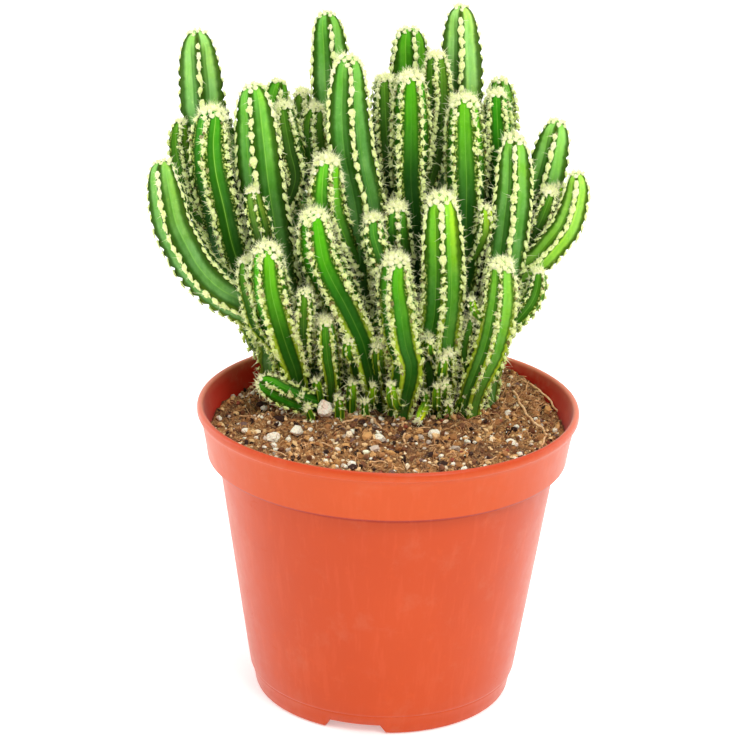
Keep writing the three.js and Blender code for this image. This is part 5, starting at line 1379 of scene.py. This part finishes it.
def divide(V, F):
    V = [tuple(v) for v in V]
    seen, out = {}, []

    def mid(a, b):
        key = (min(a, b), max(a, b))
        if key not in seen:
            m = unit((np.array(V[a]) + V[b]) / 2)
            V.append(tuple(m))
            seen[key] = len(V) - 1
        return seen[key]
    for a, b, c in F:
        ab, bc, ca = mid(a, b), mid(b, c), mid(c, a)
        out += [(a, ab, ca), (b, bc, ab), (c, ca, bc), (ab, bc, ca)]
    return np.array(V), np.array(out)


def stem_gap(x, y):
    """Distance from points on the soil to the nearest rooted stem's skin, millimetres."""
    best = np.full(np.shape(x), 99.0)
    for st in STEM.values():
        if not st.rooted and st.line.P[:, 2].min() > 92:
            continue
        P = st.line.P
        near = P[(P[:, 2] > 84) & (P[:, 2] < 96)]
        if not len(near):
            continue
        q = near[np.argmin(np.abs(near[:, 2] - 88))]
        best = np.minimum(best, np.hypot(x - q[0], y - q[1]) - st.R * .7)
    return best


def scatter(seed, count, margin=.6, reach=55.0):
    rng = np.random.default_rng(seed)
    a = rng.uniform(0, 2 * np.pi, count)
    r = reach * np.sqrt(rng.uniform(0, 1, count))
    x, y = r * np.cos(a), r * np.sin(a)
    keep = stem_gap(x, y) > margin
    return x[keep], y[keep], rng


def build_crumbs():
    geo = Geo()
    x, y, rng = scatter(31, 3400, .2)
    n = len(x)
    size = np.exp(rng.normal(math.log(.60), .46, n)).clip(.25, 2.1)
    z = soil_top(x, y) + size * rng.uniform(.0, .5, n)
    rho = np.hypot(x, y)
    over = rho + size > inner_radius(z) - .35
    k = (inner_radius(z) - .4 - size) / rho
    x, y = np.where(over, x * k, x), np.where(over, y * k, y)
    O = np.stack([x, y, z], -1)
    nn = unit(np.stack([rng.normal(0, .5, n), rng.normal(0, .5, n), np.ones(n)], -1))
    u, w = frames_for(nn, rng)
    kinds = np.array([(116, 72, 46), (168, 116, 70), (214, 162, 102), (52, 32, 26), (240, 200, 144), (150, 78, 58), (246, 226, 190), (120, 92, 84), (206, 190, 172)], float)
    pick = rng.choice(len(kinds), n, p=[.18, .18, .17, .14, .13, .03, .07, .06, .04])
    tint = lin(np.clip(kinds[pick] + rng.normal(0, 8, (n, 1)), 0, 255))
    add_many(geo, ICO_V, ICO_F, O, u, w, nn, size * rng.uniform(.8, 1.3, n), size * rng.uniform(.6, 1.0, n), size * rng.uniform(.5, .85, n), .24, 0, False, rng, tint=tint)
    ob = geo.piece("soil_crumbs", [MAT_CRUMB])
    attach(ob, "root")
    return ob


def grain_mesh(geo, at, half, turn, seed, mat=0, levels=3):
    """A lumpy, pitted mineral grain with flattened faces."""
    V, F = ICO_V, ICO_F
    for _ in range(levels):
        V, F = divide(V, F)
    rng = np.random.default_rng(seed)
    r = np.ones(len(V))
    for _ in range(9):
        d = unit(rng.normal(0, 1, 3))
        h = rng.uniform(.62, .86)
        c = V @ d
        r = np.minimum(r, np.where(c > 0, h / np.maximum(c, .2), 9))
    for _ in range(16):
        d = unit(rng.normal(0, 1, 3))
        c = np.arccos(np.clip(V @ d, -1, 1))
        r -= rng.uniform(.03, .10) * np.exp(-(c / rng.uniform(.12, .3)) ** 2)
    r += .03 * np.sin(V @ rng.normal(0, 6, 3) + 1) + .02 * np.sin(V @ rng.normal(0, 14, 3))
    r /= np.percentile(r, 90)
    W = V * r[:, None] * np.array(half)
    a = math.radians(turn)
    rot = np.array([(math.cos(a), -math.sin(a), 0), (math.sin(a), math.cos(a), 0), (0, 0, 1)])
    geo.add(W @ rot.T + np.array(at), tris=F, mat=mat, smooth=True)


GRAINS = [('perlite_grain_left', -35.2, -12.0, (2.7, 2.0, 1.7), 12, 0), ('perlite_grain_left_inner', -28.4, -7.6, (2.5, 1.9, 1.7), 40, 0),
          ('perlite_grain_pink', -19.6, 5.2, (3.3, 2.4, 3.1), 52, 1), ('perlite_grain_centre', -2.4, -12.0, (2.3, 1.8, 1.5), 5, 0),
          ('perlite_grain_right', 14.5, -7.2, (2.2, 1.8, 1.6), 60, 0)]
for i, (name, gx, gy, half, turn, pink) in enumerate(GRAINS):
    g = Geo()
    grain_mesh(g, (gx, gy, float(soil_height(gx, gy)) + half[2] + .45 - .55), half, turn, 70 + i)
    ob = g.piece("stone_" + name, [MAT_PINK if pink else MAT_PERLITE])
    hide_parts(name)
    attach(ob, "root")


def build_perlite_bits():
    geo = Geo()
    rng = np.random.default_rng(41)
    grain_mesh(geo, (38.7, -9.5, float(soil_top(38.7, -9.5)) + .9), (2.0, 1.6, 1.4), 20, 91, levels=2)
    grain_mesh(geo, (-44.5, -7.5, float(soil_top(-44.5, -7.5)) + .6), (1.5, 1.2, 1.0), 50, 92, levels=2)
    grain_mesh(geo, (24.5, -19.0, float(soil_top(24.5, -19.0)) + .6), (1.4, 1.1, 1.0), 80, 93, levels=2)
    grain_mesh(geo, (-10.5, -33.0, float(soil_top(-10.5, -33.0)) + .6), (1.5, 1.3, 1.0), 10, 94, levels=2)
    x, y, r2 = scatter(43, 250, .6, 54)
    n = len(x)
    size = rng.uniform(.28, 1.0, n) ** 1.3 * 1.15
    O = np.stack([x, y, soil_top(x, y) + size * .45], -1)
    nn = unit(np.stack([rng.normal(0, .4, n), rng.normal(0, .4, n), np.ones(n)], -1))
    u, w = frames_for(nn, rng)
    V1, F1 = divide(ICO_V, ICO_F)
    add_many(geo, V1, F1, O, u, w, nn, size, size * rng.uniform(.6, 1, n), size * rng.uniform(.5, .9, n), .24, 0, True, rng)
    ob = geo.piece("perlite_bits", [MAT_PERLITE])
    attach(ob, "root")


def tube(geo, P, r, sides=6, mat=0, seed=0, rough=.12, smooth=True):
    """A closed tube along points, its radius given at each; unevenly round like a root."""
    P = np.asarray(P, float)
    r = np.broadcast_to(np.asarray(r, float), (len(P),))
    T = unit(np.gradient(P, axis=0))
    f = np.array([0, 0, 1.0]) if abs(T[0][2]) < .8 else np.array([1.0, 0, 0])
    rng = np.random.default_rng(seed)
    rings = []
    for i in range(len(P)):
        f = f - f.dot(T[i]) * T[i]
        f /= np.linalg.norm(f)
        s = np.cross(T[i], f)
        a = 2 * np.pi * np.arange(sides) / sides
        k = 1 + rng.uniform(-rough, rough, sides)
        rings.append(P[i] + (np.cos(a)[:, None] * f + np.sin(a)[:, None] * s) * (r[i] * k)[:, None])
    V = np.vstack(rings + [P[:1] - T[0] * r[0] * .5, P[-1:] + T[-1] * r[-1] * .5])
    n = len(P)
    idx = np.arange(n * sides).reshape(n, sides)
    nx = np.roll(idx, -1, 1)
    quads = np.stack([idx[:-1], nx[:-1], nx[1:], idx[1:]], -1).reshape(-1, 4)
    tris = np.vstack([np.stack([np.full(sides, n * sides), nx[0], idx[0]], -1), np.stack([np.full(sides, n * sides + 1), idx[-1], nx[-1]], -1)])
    geo.add(V, tris=tris, quads=quads, mat=mat, smooth=smooth)


def root_line(pts, lift, n=60, seed=0, wob=.35):
    pts = np.array([(x, y, 0) for x, y in pts], float)
    C = catmull(pts, 24)
    s = np.concatenate([[0], np.cumsum(np.linalg.norm(np.diff(C, axis=0), axis=1))])
    q = np.linspace(0, s[-1], n)
    x, y = np.interp(q, s, C[:, 0]), np.interp(q, s, C[:, 1])
    l = np.interp(q, s[np.linspace(0, len(s) - 1, len(lift)).astype(int)], lift)
    rng = np.random.default_rng(seed)
    p1, p2 = rng.uniform(0, 6, 2)
    x = x + wob * np.sin(q * .9 + p1)
    y = y + wob * np.cos(q * .7 + p2)
    return np.stack([x, y, soil_height(x, y) + l + .12 * np.sin(q * 1.7)], -1), q / s[-1]


g = Geo()
P, q = root_line([(1.6, 15.4), (3.2, 9.2), (4.6, .2), (5.4, -10), (5.2, -20)], (.9, 1.1, .9, .8, .5), seed=3)
tube(g, P, .46 - .14 * q, 7, seed=3)
for i, (a, dx, dy) in enumerate([(14, 5, -3), (26, -4, -4), (37, 4, -5), (48, -3, -5)]):
    b = P[a]
    Q, qq = root_line([(b[0], b[1]), (b[0] + dx * .5, b[1] + dy * .35), (b[0] + dx, b[1] + dy)], (.9, .6, .2), n=16, seed=20 + i, wob=.2)
    tube(g, Q, .22 * (1 - .6 * qq), 5, seed=20 + i)
ob = g.piece("fine_root_front", [MAT_ROOT])
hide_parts("surface_root_front"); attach(ob, "root")

g = Geo()
P, q = root_line([(40.5, 24.0), (43.2, 16.0), (45.6, 8.5), (49.2, 1.5), (49.6, -6.5), (47.4, -14.5)], (1.0, 1.5, 1.4, 1.2, 1.0, .6), seed=4, wob=.25)
tube(g, P, .46 - .16 * q, 8, seed=4)
ob = g.piece("fine_root_right", [MAT_ROOT])
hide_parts("surface_root_right"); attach(ob, "root")

g = Geo()
P, q = root_line([(-14.1, 1.8), (-11.3, 3.6), (-7.5, 5.6), (-4.6, 4.1), (-2, -2.5)], (.3, 1.0, 1.4, 1.0, .2), seed=5, wob=.2)
tube(g, P, .44 - .2 * np.abs(q - .45), 8, seed=5)
for k, (a, b, lift) in enumerate([((43.0, 32.0), (54.8, 15.5), 1.5), ((18.5, -12.5), (26, -18.5), .5), ((-24, -14), (-17, -19), .45), ((-36, -20), (-29, -26), .45), ((30, -24), (35.5, -20), .45), ((8.5, -3.2), (15.5, -1.2), .6),
                                  ((-6, -26), (2, -31), .5), ((14, -30), (20, -35), .5), ((-42, 2), (-47, 8), .6)]):
    mid = ((a[0] + b[0]) / 2 + 1.2 * (-1) ** k, (a[1] + b[1]) / 2 + .8)
    Q, qq = root_line([a, mid, b], (lift * .4, lift * 1.4, lift * .3), n=22, seed=30 + k, wob=.3)
    tube(g, Q, (.40 if k == 0 else .27) - .08 * qq, 6, seed=40 + k)
ob = g.piece("loose_roots", [MAT_ROOT])
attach(ob, "root")


def build_fibres():
    geo = Geo()
    x, y, rng = scatter(51, 620, .4, 54.5)
    for i in range(len(x)):
        ln = rng.uniform(1.6, 6.5)
        a = rng.uniform(0, 6.28)
        bend = rng.uniform(-.7, .7)
        t = np.linspace(0, 1, 6)
        aa = a + bend * t
        px = x[i] + np.cumsum(np.cos(aa)) * ln / 6
        py = y[i] + np.cumsum(np.sin(aa)) * ln / 6
        rho = np.hypot(px, py)
        if rho.max() > 54.6 or stem_gap(px, py).min() < .2:
            continue
        pz = soil_top(px, py) + rng.uniform(.15, .7) + np.sin(np.pi * t) * rng.uniform(0, .9)
        tube(geo, np.stack([px, py, pz], -1), rng.uniform(.09, .22) * (1 - .5 * t), 4, seed=i, rough=.15, smooth=True)
    # coarser fibres raked up against the wall at the back right
    for i in range(150):
        a = rng.uniform(math.radians(14), math.radians(70))
        r0 = rng.uniform(38, 52)
        ln = rng.uniform(3, 8)
        t = np.linspace(0, 1, 6)
        rr = r0 + ln * .6 * t
        aa = a + rng.uniform(-.09, .09) * t
        pz0 = soil_top(rr * np.cos(aa), rr * np.sin(aa))
        pz = pz0 + .3 + rng.uniform(.1, 1.8) * t
        rr = np.minimum(rr, inner_radius(np.minimum(pz, 95)) - .6)
        P = np.stack([rr * np.cos(aa), rr * np.sin(aa), np.minimum(pz, 93.5)], -1)
        if stem_gap(P[:, 0], P[:, 1]).min() < .1:
            continue
        tube(geo, P, rng.uniform(.12, .3) * (1 - .45 * t), 4, seed=900 + i, rough=.2)
    ob = geo.piece("soil_fibres", [MAT_FIBRE])
    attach(ob, "root")


build_crumbs()
build_perlite_bits()
build_fibres()


# ---- floor, light and camera ---------------------------------------------------------------
def build_floor():
    """A pale flat disc, one smooth sheet."""
    rings, seg = 14, 64
    rr = np.concatenate([[.05], np.linspace(.12, 6.5, rings)])
    V, F = [(0, 0, 0)], []
    for r in rr:
        for j in range(seg):
            a = 2 * math.pi * j / seg
            V.append((r * math.cos(a), r * math.sin(a), 0.0))
    for j in range(seg):
        F.append((0, 1 + j, 1 + (j + 1) % seg))
    for i in range(len(rr) - 1):
        for j in range(seg):
            a, b = 1 + i * seg + j, 1 + i * seg + (j + 1) % seg
            F.append((a, a + seg, b + seg, b))
    me = bpy.data.meshes.new("studio_floor")
    me.from_pydata(V, [], F)
    me.update()
    n = Nodes("studio_floor")
    f = n.noise(3, 2)
    n.set(Base_Color=n.mix(n.range(f, .3, .7), (.90, .90, .90), (.92, .92, .92)), Roughness=.7)
    n.p.inputs["Specular IOR Level"].default_value = 0.1
    n.p.inputs["Emission Color"].default_value = (1.0, 1.0, 1.0, 1.0)
    n.p.inputs["Emission Strength"].default_value = 0.35
    me.materials.append(n.mat)
    ob = bpy.data.objects.new("studio_floor", me)
    ob.location = (0, 0, -.0002)
    bpy.context.scene.collection.objects.link(ob)


build_floor()


def area(name, at, target, size, power, colour=(1, 1, 1), shape="RECTANGLE", size_y=None):
    light = bpy.data.lights.new(name, "AREA")
    light.shape = shape
    light.size = size
    if size_y:
        light.size_y = size_y
    light.energy = power
    light.color = colour
    ob = bpy.data.objects.new(name, light)
    ob.location = at
    ob.rotation_euler = (Vector(target) - Vector(at)).to_track_quat("-Z", "Y").to_euler()
    bpy.context.scene.collection.objects.link(ob)
    return ob


area("key_soft", (.60, -.95, 1.25), (0, 0, .10), .7, 11.5, (1, .985, .94), size_y=.6)
area("fill_left", (-1.15, -.75, .75), (0, 0, .10), .9, 2.2, (1, 1, 1), size_y=.9)
area("top_soft", (.1, .30, 1.35), (0, 0, .12), .9, 6.5, (1, 1, .97), size_y=.9)
area("rim_left", (-1.05, .45, .45), (0, 0, .10), .7, 4.4, (1, 1, 1), size_y=.8)
area("rim_right", (1.10, .50, .45), (0, 0, .10), .6, 2.5, (1, 1, 1), size_y=.7)

world = bpy.data.worlds.new("studio")
bpy.context.scene.world = world
world.use_nodes = True
bg = world.node_tree.nodes.get("Background")
bg.inputs["Color"].default_value = (1.0, 1.0, 1.0, 1.0)
bg.inputs["Strength"].default_value = 0.77

cam = bpy.data.cameras.new("camera")
cam.sensor_width = 36.0
cam.sensor_fit = "HORIZONTAL"
cam.lens = 2484.481 / 736 * 36.0
cam.clip_start = 0.05
cam.clip_end = 50.0
co = bpy.data.objects.new("camera", cam)
bpy.context.scene.collection.objects.link(co)
right = Vector((0.99964372, 0.01663382, 0.02087472))
upv = Vector((-0.02532419, 0.34394856, 0.93864694))
back = Vector((0.00843346, -0.93884115, 0.34424725))
M = Matrix.Identity(4)
for i in range(3):
    M[i][0], M[i][1], M[i][2] = right[i], upv[i], back[i]
M[0][3], M[1][3], M[2][3] = 0.0, -0.730393, 0.374384
co.matrix_world = M
bpy.context.scene.camera = co

bpy.context.scene.view_settings.view_transform = "Standard"
bpy.context.scene.view_settings.look = "None"
